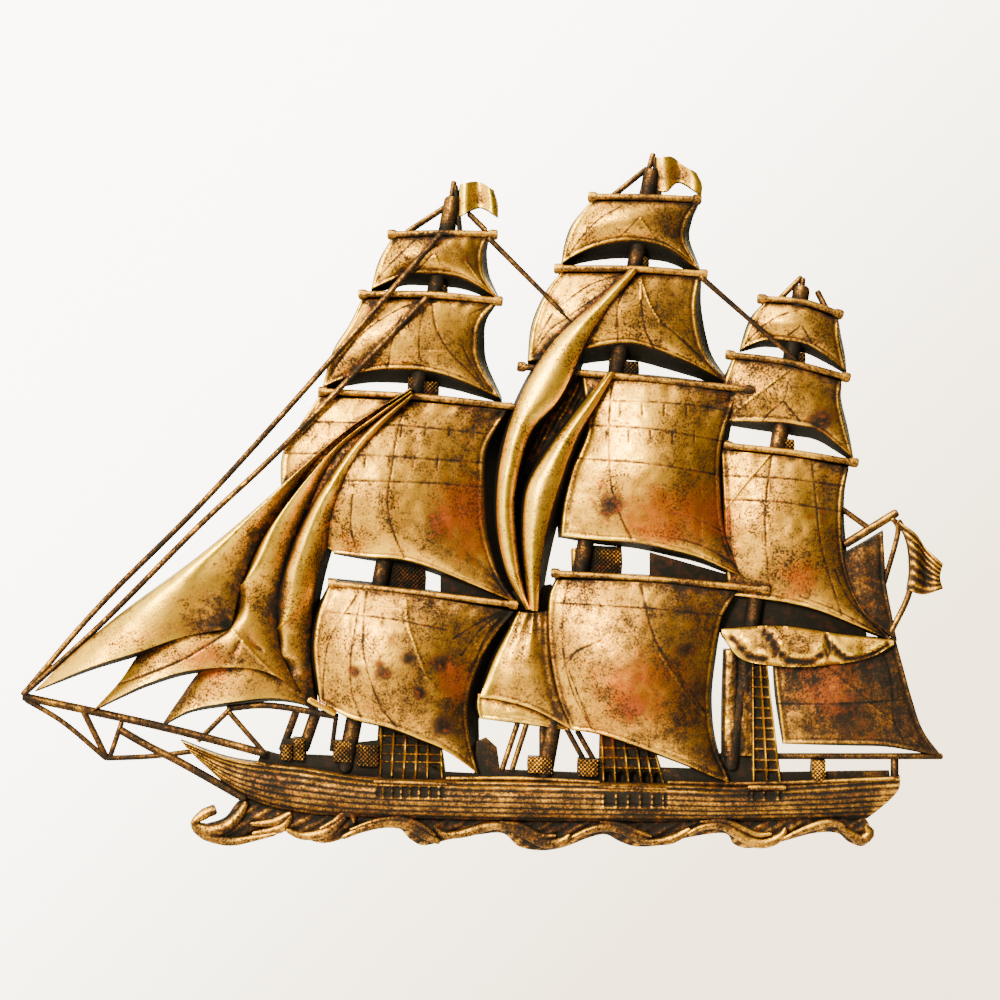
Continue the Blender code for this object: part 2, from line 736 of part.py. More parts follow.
def sea():
    """The waves: a wavy band under the hull with an S-shaped ridge rolling along each crest."""

    def proud(across, down):
        return SEA_PROUD * (0.75 + 0.25 * math.sin(math.pi * down))

    cloth(
        "sea_band",
        head=[(204, 826), (224, 819), (244, 800), (290, 809), (371, 814), (600, 817), (800, 816), (864, 816)],
        foot=[
            *[(201, 839), (223, 845), (249, 841), (280, 832), (300, 838), (324, 844), (350, 837)],
            *[(375, 830), (398, 829), (410, 840), (424, 846), (450, 840), (480, 835), (503, 834)],
            *[(519, 847), (541, 851), (563, 848), (590, 838), (606, 835), (620, 842), (636, 847)],
            *[(660, 846), (690, 838), (725, 834), (735, 845), (751, 849), (780, 843), (815, 834)],
            *[(838, 834), (850, 843), (863, 847), (873, 839)],
        ],
        luff=[(198, 832)],
        leech=[(870, 826)],
        cells=(32, 2),
        proud=proud,
        skirts=(1, 1, 1, 1),
    )
    high = SEA_PROUD + 0.002
    bow_wave = [(198, 831, high), (214, 838, high), (232, 826, high), (246, 803, high)]
    ridge("bow_wave", bow_wave, BOW_WAVE_WIDTH, steps=5)
    bow_curl = [(196, 832, high), (195, 822, high), (204, 814, high), (213, 813, high)]
    ridge("bow_curl", bow_curl, BOW_WAVE_WIDTH, steps=4)
    roll = [(0.0, 0.85), (0.2, 0.55), (0.42, 0.1), (0.56, 0.05), (0.72, 0.35), (0.88, 0.8), (1.0, 1.0)]
    crests = ((262, 352, 812), (340, 440, 818), (442, 566, 822), (570, 662, 824), (672, 778, 824))
    for order, (start, end, top) in enumerate((*crests, (780, 866, 822))):
        path = [(start + share * (end - start), top + 21 * fall, high) for share, fall in roll]
        ridge(f"wave_{order}", path, SEA_RIDGE_WIDTH, steps=7)


def stadium(middle_x, low_z, high_z, width, depth):
    """A loop with round ends, upright in the plane `depth` metres in front of the wall face."""
    ring = []
    for side in range(ROUND_SIDES):
        turn = 2 * math.pi * (side + 0.5) / ROUND_SIDES
        end = high_z if math.sin(turn) > 0 else low_z
        ring.append(Vector((middle_x + width / 2 * math.cos(turn), -depth, end + width / 2 * math.sin(turn))))
    return ring


def keyhole(name, middle_x):
    """Cutters for a slot that drops over a nail: a round entry, a narrow slot and a wide channel behind."""
    channel_depth = KEYHOLE_DEPTH - KEYHOLE_FLOOR_STEP
    for part, low, high, width, start, end in (
        ("entry", -KEYHOLE_DROP, -KEYHOLE_DROP, KEYHOLE_ENTRY_DIAMETER, -CUT_OVERRUN, KEYHOLE_DEPTH),
        ("slot", -KEYHOLE_DROP, 0.0, KEYHOLE_SLOT_WIDTH, -CUT_OVERRUN, KEYHOLE_LIP + CUT_OVERRUN),
        ("channel", -KEYHOLE_DROP, 0.0, KEYHOLE_ENTRY_DIAMETER, KEYHOLE_LIP, channel_depth),
    ):
        rings = [stadium(middle_x, low, high, width, depth) for depth in (start, end)]
        from_rings(f"{name}_{part}", rings, KEYHOLES)


def cut_keyholes():
    """Cuts a keyhole into the back of each topsail, either side of the origin."""
    keyhole("fore_keyhole", -KEYHOLE_SPACING / 2)
    keyhole("main_keyhole", KEYHOLE_SPACING / 2)
    for name in ("fore_topsail", "main_topsail"):
        cut = bpy.data.objects[name].modifiers.new("keyhole", "BOOLEAN")
        cut.operation = "DIFFERENCE"
        cut.operand_type = "COLLECTION"
        cut.collection = bpy.data.collections[KEYHOLES]


def antiqued_gold():
    finish = bpy.data.materials.new("antiqued_gold")
    finish.use_nodes = True
    shader = finish.node_tree.nodes["Principled BSDF"]
    shader.inputs["Base Color"].default_value = (0.46, 0.27, 0.07, 1.0)
    shader.inputs["Roughness"].default_value = 0.42
    shader.inputs["Metallic"].default_value = 0.85
    return finish


def plaque():
    """Unites every form with the hull into one moulded piece."""
    clear_scene()
    scene = bpy.context.scene
    for group in (FORMS, KEYHOLES):
        scene.collection.children.link(bpy.data.collections.new(group))
    body = hull()
    fore_mast()
    main_mast()
    mizzen_mast()
    head_sails()
    head_stays()
    bowsprit()
    staysails()
    spanker()
    hull_fittings()
    deck()
    webs()
    sea()
    cut_keyholes()
    bpy.data.collections[FORMS].objects.unlink(body)
    scene.collection.objects.link(body)
    body.hide_render = False
    body.display_type = "TEXTURED"
    body.data.materials.append(antiqued_gold())
    unite = body.modifiers.new("unite", "BOOLEAN")
    unite.operation = "UNION"
    unite.operand_type = "COLLECTION"
    unite.collection = bpy.data.collections[FORMS]
    merge = body.modifiers.new("merge_flat_faces", "DECIMATE")
    merge.decimate_type = "DISSOLVE"
    merge.angle_limit = FLAT_ANGLE


plaque()
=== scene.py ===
"""The looks of the clipper ship plaque: its moulded relief at full detail, finished in antiqued gold."""

import json
import math

import bmesh
import bpy
import numpy as np
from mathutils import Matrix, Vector
from mathutils.bvhtree import BVHTree

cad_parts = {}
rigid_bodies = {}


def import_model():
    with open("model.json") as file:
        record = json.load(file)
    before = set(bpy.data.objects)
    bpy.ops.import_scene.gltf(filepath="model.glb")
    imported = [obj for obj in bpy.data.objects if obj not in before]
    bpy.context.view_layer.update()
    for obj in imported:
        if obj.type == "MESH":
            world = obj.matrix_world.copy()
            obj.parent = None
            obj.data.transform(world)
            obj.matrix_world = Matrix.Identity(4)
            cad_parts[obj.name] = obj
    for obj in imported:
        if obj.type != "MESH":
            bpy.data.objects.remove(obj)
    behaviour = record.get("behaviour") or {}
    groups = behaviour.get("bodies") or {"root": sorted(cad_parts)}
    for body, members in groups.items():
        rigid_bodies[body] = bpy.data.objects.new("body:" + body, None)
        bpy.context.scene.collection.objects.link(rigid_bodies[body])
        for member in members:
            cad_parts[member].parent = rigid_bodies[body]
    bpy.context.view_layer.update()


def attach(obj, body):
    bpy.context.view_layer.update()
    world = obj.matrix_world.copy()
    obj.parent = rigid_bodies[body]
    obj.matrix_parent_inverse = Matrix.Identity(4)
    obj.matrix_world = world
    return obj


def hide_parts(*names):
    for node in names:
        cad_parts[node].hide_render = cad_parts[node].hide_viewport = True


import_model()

# The same named sizes as the part, in metres
LENGTH = 0.660
COURSE_BELLY = 0.023
TOPSAIL_BELLY = 0.018
UPPER_BELLY = 0.012
COURSE_RIM = 0.015
UPPER_RIM = 0.012
JIB_TACK_PROUD = 0.012
JIB_SHOULDER_PROUD = 0.030
STAYSAIL_PROUD = 0.029
SPANKER_PROUD = 0.012
FLAG_PROUD = 0.011
FURLED_PROUD = 0.015
HULL_EDGE_PROUD = 0.013
HULL_BELLY = 0.012
SEA_PROUD = 0.014
WEB_PROUD = 0.007
DECK_PROUD = 0.013
SHROUD_PANEL_PROUD = 0.012
MAST_WIDTH = 0.0120
MAST_PROUD = 0.0140
YARD_THICKNESS = 0.0044
YARD_ARM_KNOB = 0.0070
STAY_THICKNESS = 0.0044
ROD_THICKNESS = 0.0040
POST_WIDTH = 0.0056
BOWSPRIT_THICKNESS = 0.0062
CHANNEL_THICKNESS = 0.0040
CHANNEL_STANDS_OUT = 0.009
KEYHOLE_SPACING = 0.142
KEYHOLE_ENTRY_DIAMETER = 0.0100
KEYHOLE_SLOT_WIDTH = 0.0048
KEYHOLE_DROP = 0.0100
KEYHOLE_LIP = 0.0026
KEYHOLE_DEPTH = 0.0080

# The drawing grid, as in the part
LENGTH_STEPS = 926
ORIGIN_COLUMN = 530
ORIGIN_ROW = 420
GRID = LENGTH / LENGTH_STEPS
CURVE_SUBSTEPS = 12

# How finely the relief is drawn, in grid steps
CELL = 1.2
JIB_CELL = 1.9
FINE_CELL = 0.8
# The head sails roll more here than in the solid, between lower edges
JIB_FULLNESS = 0.0135
JIB_EDGE_DROP = 0.0045
# How far they run from the bow to the shoulder, in grid steps
JIB_RUN = 483
# Round bars and ribs: sides, and length of a step in grid steps
BAR_SIDES = 12
BAR_CELL = 5.0
# The backs lie this far off the wall, each form's a step further than the one before
BACK_GAP = 0.0003
BACK_STEP = 4e-6
# Fine relief, in metres, the turns of a cord along its length, and how many knots the unevenness repeats after
BOLT_ROPE_RISE = 0.0006
SEAM_DEPTH = 0.0004
FOLD_DEPTH = 0.0016
CORD_TWIST = 1.6
LUMP_KNOTS = 40
# A drafted side wall, ring by ring: the share of the rim's height left, of the wall's spread, and its dark wash, which
# paints shade on the side walls as well as the wash left on them
WALL = ((0.97, 0.05, 0.6), (0.86, 0.14, 1.0), (0.60, 0.34, 1.0), (0.28, 0.68, 1.0), (0.0, 1.0, 1.0))

# How the finish reads the relief: metres above its near surroundings that count as worn, and below the wide ones
# as a hollow, and the distance in front that the map is taken from
WORN_RISE = 0.0007
HOLLOW_DEPTH = 0.0060
IN_FRONT = 0.1
# Edges sharper than this stay crisp
SHARP_FROM = math.radians(55)
# The studio, in metres, with lamp light as warm as the photograph's
FLOOR_HEIGHT = -1.2
FLOOR_REACH = 1.6
PLAQUE_MIDDLE = (-0.02, 0, -0.05)
WARM_LIGHT = (1.0, 0.90, 0.56)

# Sewn seams and reef lines on the sails, as lines of grid points
SEAMS = {
    "inner_jib": ([(116, 685), (150, 673), (180, 661), (205, 647), (229, 631)],),
    "fore_royal": ([(415, 240), (398, 256), (383, 272), (376, 281)], [(434, 253), (420, 268), (410, 275)]),
    "fore_topgallant": (
        [(420, 301), (395, 311), (365, 331), (340, 360), (328, 379)],
        [(402, 316), (395, 332), (390, 352), (388, 367)], [(424, 308), (420, 330), (419, 352), (421, 362)],
        [(432, 303), (436, 328), (450, 352), (470, 372), (485, 389)], [(462, 345), (470, 362), (484, 386)],
        [(402, 362), (424, 366)], [(470, 314), (487, 306)],
    ),
    "fore_topsail": (
        [(290, 421), (360, 423), (430, 428), (487, 434)], [(284, 453), (360, 455), (430, 459), (484, 463)],
        [(283, 480), (360, 481), (430, 483), (484, 487)],
        [(408, 402), (398, 430), (392, 470), (388, 500), (393, 530), (405, 559)],
        [(353, 495), (351, 525), (355, 545), (360, 556)], *[[(x, 424), (x - 1, 436)] for x in range(330, 480, 24)],
        *[[(x, 456), (x - 1, 467)] for x in range(342, 480, 24)],
    ),
    "fore_course": (
        [(326, 611), (394, 619), (447, 630)], [(359, 592), (331, 636), (324, 671), (323, 699)],
        [(360, 602), (354, 636), (351, 661), (352, 690), (362, 720)],
        [(367, 592), (364, 619), (364, 651), (370, 677), (382, 707), (397, 727)],
        [(505, 610), (480, 622), (454, 638)], [(505, 611), (478, 632), (462, 655)],
        [(505, 612), (484, 640), (474, 668)],
    ),
    "main_royal": ([(620, 207), (598, 220), (580, 240), (568, 256)], [(640, 217), (625, 232), (613, 243)]),
    "main_topgallant": (
        [(625, 273), (590, 285), (562, 304)], [(632, 275), (600, 295), (570, 316)],
        [(568, 318), (550, 330), (533, 353)], [(552, 314), (537, 341)], [(632, 277), (618, 305), (618, 341)],
        [(641, 300), (645, 330), (655, 350)], [(660, 322), (680, 338), (712, 369)], [(684, 340), (715, 371)],
    ),
    "main_topsail": (
        [(590, 400), (650, 402), (700, 406), (724, 410)], [(584, 425), (650, 429), (722, 441)],
        [(575, 458), (650, 464), (720, 475)], [(612, 385), (608, 430), (610, 480), (620, 515), (633, 542)],
        *[[(x, 404), (x, 415)] for x in range(620, 716, 22)], *[[(x, 431), (x, 442)] for x in range(606, 716, 22)],
        [(737, 540), (700, 520), (668, 512)], [(745, 570), (700, 545), (660, 536)],
    ),
    "main_course": (
        [(552, 603), (600, 605), (660, 609), (722, 616)],
        [(568, 583), (563, 610), (563, 650), (572, 690), (592, 729)],
        [(640, 583), (655, 640), (680, 675), (705, 712)], [(600, 640), (575, 652), (563, 668)],
        [(568, 668), (580, 700), (590, 722)],
    ),
    "mizzen_royal": (
        [(800, 309), (775, 318), (757, 332), (743, 347)], [(800, 326), (790, 334), (783, 340)],
        [(803, 327), (812, 343)],
    ),
    "mizzen_topgallant": ([(788, 382), (784, 400), (770, 412), (763, 421)], [(784, 402), (800, 421)]),
    "mizzen_topsail": (
        [(725, 476), (780, 478), (843, 486)], [(725, 500), (780, 502), (842, 512)],
        [(772, 456), (767, 490), (765, 530), (770, 596)], [(812, 460), (816, 500), (822, 550), (842, 615)],
        [(885, 636), (850, 600), (835, 570)], [(886, 637), (840, 612), (800, 596)],
    ),
    "spanker": ([(777, 704), (840, 704), (907, 700)], [(887, 659), (893, 687), (894, 719), (905, 742)]),
}
# Folds that fan from a sail's corners, each from its deep end outwards
FOLDS = {
    "outer_jib": (
        [(231, 627), (205, 622), (176, 620)], [(231, 627), (208, 614), (186, 606)],
        [(231, 627), (214, 606), (200, 594)], [(231, 626), (222, 604), (214, 586)],
    ),
    "inner_jib": ([(240, 640), (236, 650), (225, 668)], [(262, 650), (250, 640), (244, 620)]),
    "fore_topsail": (
        [(505, 588), (470, 556), (430, 530)], [(508, 594), (470, 572), (436, 558)],
        [(500, 414), (480, 424), (462, 436)],
    ),
    "fore_course": (
        [(508, 613), (484, 622), (454, 640)], [(508, 615), (482, 640), (462, 668)],
        [(504, 617), (486, 650), (476, 690)],
    ),
    "main_topsail": (
        [(748, 577), (715, 552), (668, 528)], [(733, 398), (712, 406), (690, 420)],
        [(744, 570), (722, 530), (708, 500)],
    ),
    "main_course": ([(735, 596), (712, 606), (690, 618)], [(724, 776), (706, 730), (690, 700)]),
    "main_topgallant": ([(722, 378), (700, 352), (680, 336)],),
    "fore_topgallant": ([(492, 390), (470, 366), (454, 350)],),
    "mizzen_topsail": ([(886, 636), (850, 604), (820, 580)], [(880, 630), (856, 580), (846, 550)]),
    "main_royal": ([(694, 262), (676, 246), (664, 238)],),
    "lower_staysail": ([(530, 616), (520, 650), (508, 690)], [(536, 616), (540, 660), (552, 705)]),
}
# Fine ropes moulded on the sails
ROPES = {
    "fore_royal": ([(434, 253), (443, 274)], [(466, 262), (483, 284)]),
    "fore_topgallant": ([(421, 362), (424, 369)], [(494, 306), (484, 340), (492, 385)]),
    "fore_course": ([(406, 600), (409, 626), (422, 663), (428, 679)],),
    "main_royal": ([(640, 218), (655, 240)], [(680, 250), (696, 264)]),
    "main_topgallant": (
        [(641, 277), (641, 300)], [(641, 277), (648, 300), (660, 322)], [(590, 335), (608, 345), (613, 349)],
        [(548, 299), (576, 323)],
    ),
    "main_course": ([(660, 655), (672, 672), (690, 700), (705, 715)],),
    "mizzen_topgallant": ([(797, 364), (760, 392), (728, 417)],),
    "mizzen_topsail": ([(771, 454), (745, 484), (726, 508)],),
    "spanker": ([(827, 668), (875, 708), (924, 748)],),
}
# Where a head sail is tucked under the corner of the one before it: column, row, reach across and down, depth
TUCKED = {
    "outer_jib": ((224, 612, 18, 26, -0.0035),),
    "inner_jib": ((218, 606, 17, 24, 0.014), (237, 592, 9, 26, 0.006)),
    "fore_staysail": ((268, 640, 13, 24, 0.012), (282, 668, 14, 10, 0.006)),
}
# The rope that lies over the lower head sails
JIB_SHEET = ((232, 629), (262, 662), (290, 687), (318, 706))
# The furled sail's rolls, and the dark gaps between them
ROLLS = (
    [(726, 642), (738, 655), (757, 662), (774, 659)], [(742, 636), (754, 650), (770, 655), (782, 648)],
    [(768, 656), (785, 665), (806, 667), (824, 660), (829, 650)], [(778, 641), (792, 655), (808, 656), (822, 645)],
    [(828, 656), (845, 664), (868, 660), (887, 648)], [(836, 643), (850, 653), (868, 651), (884, 643)],
)
ROLL_GAPS = (
    [(732, 638), (746, 654), (762, 659), (776, 654)], [(774, 642), (786, 660), (808, 662), (826, 652)],
    [(832, 644), (846, 658), (868, 656), (888, 645)], [(765, 632), (772, 640), (776, 650)],
    [(826, 636), (830, 648), (826, 658)],
)
# The iron straps on the hull below the shrouds
CHAIN_PLATES = (
    *[[(x, 788), (x, 797)] for x in (383, 392, 401, 410, 419, 429, 439)],
    *[[(x, 795), (x, 806)] for x in (603, 616, 628, 640, 652, 663)], *[[(x, 792), (x, 799)] for x in (752, 764, 778)],
)
# The ropes of water: width and extra height in metres, then the grid points of the middle line
WAVES = (
    (0.0090, 0.0000, [(246, 802), (240, 814), (228, 826), (212, 832), (198, 829), (192, 823)]),
    (0.0060, -0.0010, [(276, 834), (256, 838), (232, 842), (208, 838), (193, 830)]),
    (0.0070, 0.0000, [(191, 826), (196, 820), (205, 814), (214, 810)]),
    (0.0062, 0.0000, [(250, 824), (264, 824), (278, 821), (291, 813)]),
    (0.0065, -0.0008, [(252, 834), (272, 831), (284, 826), (291, 815)]),
    (0.0072, 0.0000, [(286, 830), (300, 836), (318, 835), (334, 827), (346, 815)]),
    (0.0050, 0.0006, [(320, 829), (334, 822), (344, 814), (352, 815), (354, 823)]),
    (0.0078, 0.0000, [(342, 838), (362, 829), (386, 823), (408, 825), (424, 834), (440, 843)]),
    (0.0044, 0.0008, [(350, 830), (376, 821), (400, 819), (420, 825), (436, 836)]),
    (0.0066, 0.0000, [(434, 826), (444, 835), (462, 834), (486, 827), (506, 825)]),
    (0.0082, 0.0000, [(480, 828), (506, 826), (528, 835), (546, 843), (562, 842), (570, 835)]),
    (0.0044, 0.0008, [(500, 822), (522, 826), (540, 836), (556, 836)]),
    (0.0072, 0.0000, [(572, 838), (588, 831), (606, 827), (624, 830), (640, 839), (656, 844)]),
    (0.0060, 0.0006, [(640, 842), (660, 842), (676, 838), (690, 829)]),
    (0.0040, 0.0006, [(600, 822), (622, 825), (640, 833), (652, 837)]),
    (0.0074, 0.0000, [(688, 834), (704, 827), (722, 826), (738, 834), (752, 842), (768, 843), (782, 836), (786, 828)]),
    (0.0042, 0.0007, [(700, 822), (724, 821), (742, 828), (758, 835), (772, 834)]),
    (0.0060, 0.0000, [(784, 839), (800, 832), (816, 826), (832, 823), (846, 827)]),
    (0.0074, 0.0000, [(838, 826), (850, 834), (862, 840), (870, 834), (866, 826)]),
)
# Each sail: head and foot from left to right, the points between on its luff and leech, the height of its edges,
# how far it fills, the spread of its side walls at the head, luff, leech and foot in grid steps, its dark wash
SAILS = {
    "fore_royal": (
        [(391, 238), (440, 237), (488, 235)],
        [(371, 289), (393, 279), (410, 273), (441, 273), (467, 279), (498, 298)],
        [(380, 260)], [(482, 253), (484, 275)], UPPER_RIM, UPPER_BELLY, (6, 2, 6, 13), 0.10,
    ),
    "fore_topgallant": (
        [(361, 299), (430, 300), (494, 304)],
        [(322, 387), (346, 377), (370, 370), (396, 368), (427, 370), (459, 379), (500, 398)],
        [(350, 324), (334, 350)], [(481, 320), (477, 339), (480, 364)], UPPER_RIM, UPPER_BELLY, (6, 2, 8, 15),
    ),
    "fore_topsail": (
        [(318, 397), (410, 402), (507, 410)],
        [(334, 553), (370, 557), (400, 559), (430, 567), (470, 583), (516, 603)],
        [(300, 425), (282, 460), (290, 515)], [(486, 447), (483, 480), (485, 530), (498, 575)],
        COURSE_RIM, TOPSAIL_BELLY, (8, 2, 20, 6),
    ),
    "fore_course": (
        [(329, 586), (403, 594), (514, 612)],
        [(320, 702), (350, 718), (388, 727), (420, 739), (447, 751), (478, 774)],
        [(318, 615), (314, 650)], [(496, 633), (480, 660), (467, 700), (469, 738)],
        COURSE_RIM, COURSE_BELLY, (8, 6, 14, 3), 0.10,
    ),
    "main_royal": (
        [(591, 201), (645, 202), (698, 203)],
        [(562, 263), (578, 253), (597, 245), (620, 240), (645, 241), (670, 248), (700, 270)],
        [(574, 223), (566, 244)], [(688, 220), (685, 240)], UPPER_RIM, UPPER_BELLY, (6, 2, 6, 18), 0.10,
    ),
    "main_topgallant": (
        [(560, 273), (630, 274), (700, 277)],
        [(528, 361), (560, 357), (590, 347), (621, 342), (646, 345), (690, 362), (731, 384)],
        [(546, 293), (533, 325)], [(696, 305), (699, 334), (708, 358)], UPPER_RIM, UPPER_BELLY + 0.001, (6, 2, 8, 18),
    ),
    "main_topsail": (
        [(583, 378), (660, 384), (737, 393)],
        [(561, 536), (600, 540), (635, 542), (669, 549), (704, 559), (752, 582)],
        [(588, 428), (572, 470), (564, 505)], [(722, 440), (719, 478), (723, 525), (735, 560)],
        COURSE_RIM, TOPSAIL_BELLY, (9, 10, 10, 7),
    ),
    "main_course": (
        [(556, 580), (650, 583), (737, 592)],
        [(572, 730), (600, 734), (640, 747), (680, 762), (710, 775), (730, 783)],
        [(549, 600), (549, 645), (558, 695)], [(722, 618), (713, 660), (709, 700), (714, 742)],
        COURSE_RIM, COURSE_BELLY, (8, 3, 4, 3), 0.17,
    ),
    "mizzen_royal": (
        [(764, 303), (804, 307), (839, 320)],
        [(741, 349), (764, 340), (787, 340), (807, 344), (826, 355), (847, 371)],
        [(752, 319)], [(840, 340)], UPPER_RIM - 0.001, UPPER_BELLY - 0.003, (5, 2, 4, 9), 0.10,
    ),
    "mizzen_topgallant": (
        [(733, 359), (787, 366), (842, 382)],
        [(726, 421), (769, 421), (797, 424), (821, 431), (854, 458)],
        [(723, 390)], [(840, 400), (845, 425)], UPPER_RIM, UPPER_BELLY - 0.002, (5, 2, 4, 12), 0.10,
    ),
    "mizzen_topsail": (
        [(722, 450), (795, 458), (849, 468)],
        [(729, 595), (756, 598), (790, 603), (821, 611), (856, 625), (893, 641)],
        [(724, 500), (726, 550)], [(843, 495), (842, 530), (847, 570), (863, 608)],
        UPPER_RIM, UPPER_BELLY, (6, 2, 5, 5), 0.04,
    ),
    "lower_staysail": (
        [(518, 612), (532, 613), (548, 611)], [(480, 697), (505, 701), (535, 710), (574, 731)],
        [(508, 632), (494, 660)], [(549, 640), (552, 670), (560, 700)], COURSE_RIM, 0.006, (1, 4, 2, 3),
    ),
    "lower_staysail_foot": (
        [(478, 694), (520, 703), (566, 725)], [(480, 719), (520, 723), (570, 731)],
        [(477, 707)], [(568, 728)], UPPER_RIM, 0.003, (1, 2, 1, 2),
    ),
    "gaff_sail": (
        [(838, 558), (862, 545), (884, 532)], [(848, 610), (872, 622), (898, 641)],
        [(843, 585)], [(885, 564), (887, 590)], SPANKER_PROUD - 0.002, 0.003, (2, 1, 2, 2), 0.50,
    ),
    "spanker": (
        [(774, 655), (835, 655), (896, 638)], [(784, 744), (853, 744), (893, 746), (943, 757)],
        [(777, 690)], [(903, 664), (913, 700), (924, 731)], SPANKER_PROUD - 0.001, 0.005, (1, 2, 1, 3), 0.50,
    ),
}
# The keyholes lie behind the two deepest sails either side of the middle
KEYHOLE_AT = {"fore_topsail": -KEYHOLE_SPACING / 2, "main_topsail": KEYHOLE_SPACING / 2}
# Each head sail: top, tack, clew, the points between on its luff, leech and foot, how far it lies below the first
HEAD_SAILS = {
    "outer_jib": (
        (410, 388), (34, 691), (231, 628), [(340, 437), (270, 497), (200, 555), (120, 614), (70, 656)],
        [(360, 422), (315, 465), (262, 540), (242, 585)], [(90, 667), (140, 651), (185, 636)], 0.0,
    ),
    "inner_jib": (
        (410, 391), (92, 711), (300, 693),
        [(352, 436), (306, 485), (260, 545), (239, 592), (218, 620), (183, 632), (145, 648), (119, 682)],
        [(380, 421), (342, 455), (300, 530), (282, 590), (279, 645)],
        [(120, 696), (150, 682), (190, 670), (240, 667), (272, 674)], 0.009,
    ),
    "fore_staysail": (
        (411, 394), (160, 727), (316, 712),
        [(356, 441), (322, 487), (295, 540), (279, 590), (273, 640), (256, 660), (230, 661), (202, 670), (180, 698)],
        [(385, 427), (355, 475), (325, 550), (312, 610), (310, 660)],
        [(190, 710), (230, 702), (270, 698), (300, 703)], 0.017,
    ),
}
# How much gold is left on the wash where nothing wears or covers it, and its colours from bare wash to bright gold
GOLD_LEFT = -0.50
GOLD_TONES = (
    (0.0, "#080503"), (0.16, "#1e1108"), (0.34, "#482d16"), (0.52, "#865f28"), (0.70, "#d2982a"), (0.86, "#f7bf32"),
    (1.0, "#ffd03a"),
)
# Stains: grid column, row, reach in grid steps, strength
RUST = (
    (462, 512, 26, 0.75), (470, 548, 16, 0.6), (455, 682, 16, 0.7), (350, 550, 16, 0.35), (655, 520, 30, 0.7),
    (705, 515, 26, 0.7), (636, 688, 30, 0.8), (800, 580, 18, 0.6), (205, 662, 20, 0.5), (255, 640, 10, 0.3),
    (600, 740, 20, 0.4), (830, 690, 24, 0.4),
)
SMOKE = (
    (610, 506, 19, 0.95), (442, 522, 20, 0.7), (356, 670, 9, 0.8), (384, 672, 12, 0.85), (408, 658, 11, 0.8),
    (442, 664, 14, 0.8), (420, 692, 9, 0.8), (440, 726, 16, 0.75), (686, 650, 15, 0.7), (632, 706, 15, 0.8),
    (820, 425, 18, 0.85), (850, 714, 26, 0.6), (705, 690, 20, 0.6), (820, 515, 16, 0.5), (470, 260, 14, 0.5),
    (400, 575, 20, 0.3),
)
# The map of how proud the relief stands, in grid steps
MAP_COLUMNS = 966
MAP_ROWS = 880

forms = []


def places(columns, rows, proud):
    """Where grid points stand, as an array of coordinates in metres."""
    return np.stack([(columns - ORIGIN_COLUMN) * GRID, -proud, (ORIGIN_ROW - rows) * GRID], axis=-1)


def smooth_line(points, shares):
    """Points at these shares of the length of the smooth curve through the given ones."""
    knots = np.array(points, float)
    padded = np.vstack([2 * knots[0] - knots[1], knots, 2 * knots[-1] - knots[-2]])
    t = np.arange(CURVE_SUBSTEPS)[:, None] / CURVE_SUBSTEPS
    spans = []
    for start in range(len(knots) - 1):
        a, b, c, d = padded[start : start + 4]
        bend = (2 * a - 5 * b + 4 * c - d) * t**2 + (3 * b - a - 3 * c + d) * t**3
        spans.append((2 * b + (c - a) * t + bend) / 2)
    dense = np.vstack([*spans, knots[-1:]])
    steps = np.linalg.norm(np.diff(dense, axis=0), axis=1)
    reached = np.concatenate([[0.0], np.cumsum(steps)])
    target = np.asarray(shares) * reached[-1]
    return np.stack([np.interp(target, reached, part) for part in dense.T], axis=1)


def line_length(points):
    """The length of the smooth curve through the points, in grid steps."""
    line = smooth_line(points, np.linspace(0, 1, 24))[:, :2]
    return np.linalg.norm(np.diff(line, axis=0), axis=1).sum()


def near_line(columns, rows, points):
    """How far each point is from a smooth line, in grid steps, and how far along the line it is."""
    line = smooth_line(points, np.linspace(0, 1, max(4, round(line_length(points) / 6))))
    nearest = np.full(columns.shape, 1e9)
    along = np.zeros(columns.shape)
    last = len(line) - 1
    for order in range(last):
        (ax, ay), (bx, by) = line[order][:2], line[order + 1][:2]
        span = max((bx - ax) ** 2 + (by - ay) ** 2, 1e-9)
        share = np.clip(((columns - ax) * (bx - ax) + (rows - ay) * (by - ay)) / span, 0, 1)
        away = np.hypot(columns - ax - share * (bx - ax), rows - ay - share * (by - ay))
        closer = away < nearest
        nearest = np.where(closer, away, nearest)
        along = np.where(closer, (order + share) / last, along)
    return nearest, along


def lumps(columns, rows, size, seed):
    """Soft seeded unevenness from -1 to 1, with lumps about `size` grid steps across."""
    knots = np.random.default_rng(seed).uniform(-1, 1, (LUMP_KNOTS, LUMP_KNOTS))
    x = (np.asarray(columns) / size) % (LUMP_KNOTS - 1)
    y = (np.asarray(rows) / size) % (LUMP_KNOTS - 1)
    i = x.astype(int)
    j = y.astype(int)
    u = x - i
    v = y - j
    u = u * u * (3 - 2 * u)
    v = v * v * (3 - 2 * v)
    low = knots[j, i] * (1 - u) + knots[j, i + 1] * u
    high = knots[j + 1, i] * (1 - u) + knots[j + 1, i + 1] * u
    return low * (1 - v) + high * v


def hump(values, middle, reach):
    """1 at the middle, falling smoothly to almost 0 at twice the reach on either side."""
    return np.exp(-(((values - middle) / reach) ** 2))


def drawn(columns, rows, lines, width):
    """How near each point is to the closest of some lines: 1 on it, falling to 0 past `width` grid steps."""
    cover = np.zeros(columns.shape)
    for points in lines:
        cover = np.maximum(cover, hump(near_line(columns, rows, points)[0], 0, width))
    return cover


def cords_on(columns, rows, lines, width=1.6, height=0.0008):
    """Raised twisted cords along lines, in metres of relief."""
    relief = np.zeros(columns.shape)
    for points in lines:
        away, along = near_line(columns, rows, points)
        twist = 1 + 0.25 * np.sin(along * line_length(points) * CORD_TWIST)
        relief += height * twist * hump(away, 0, width)
    return relief


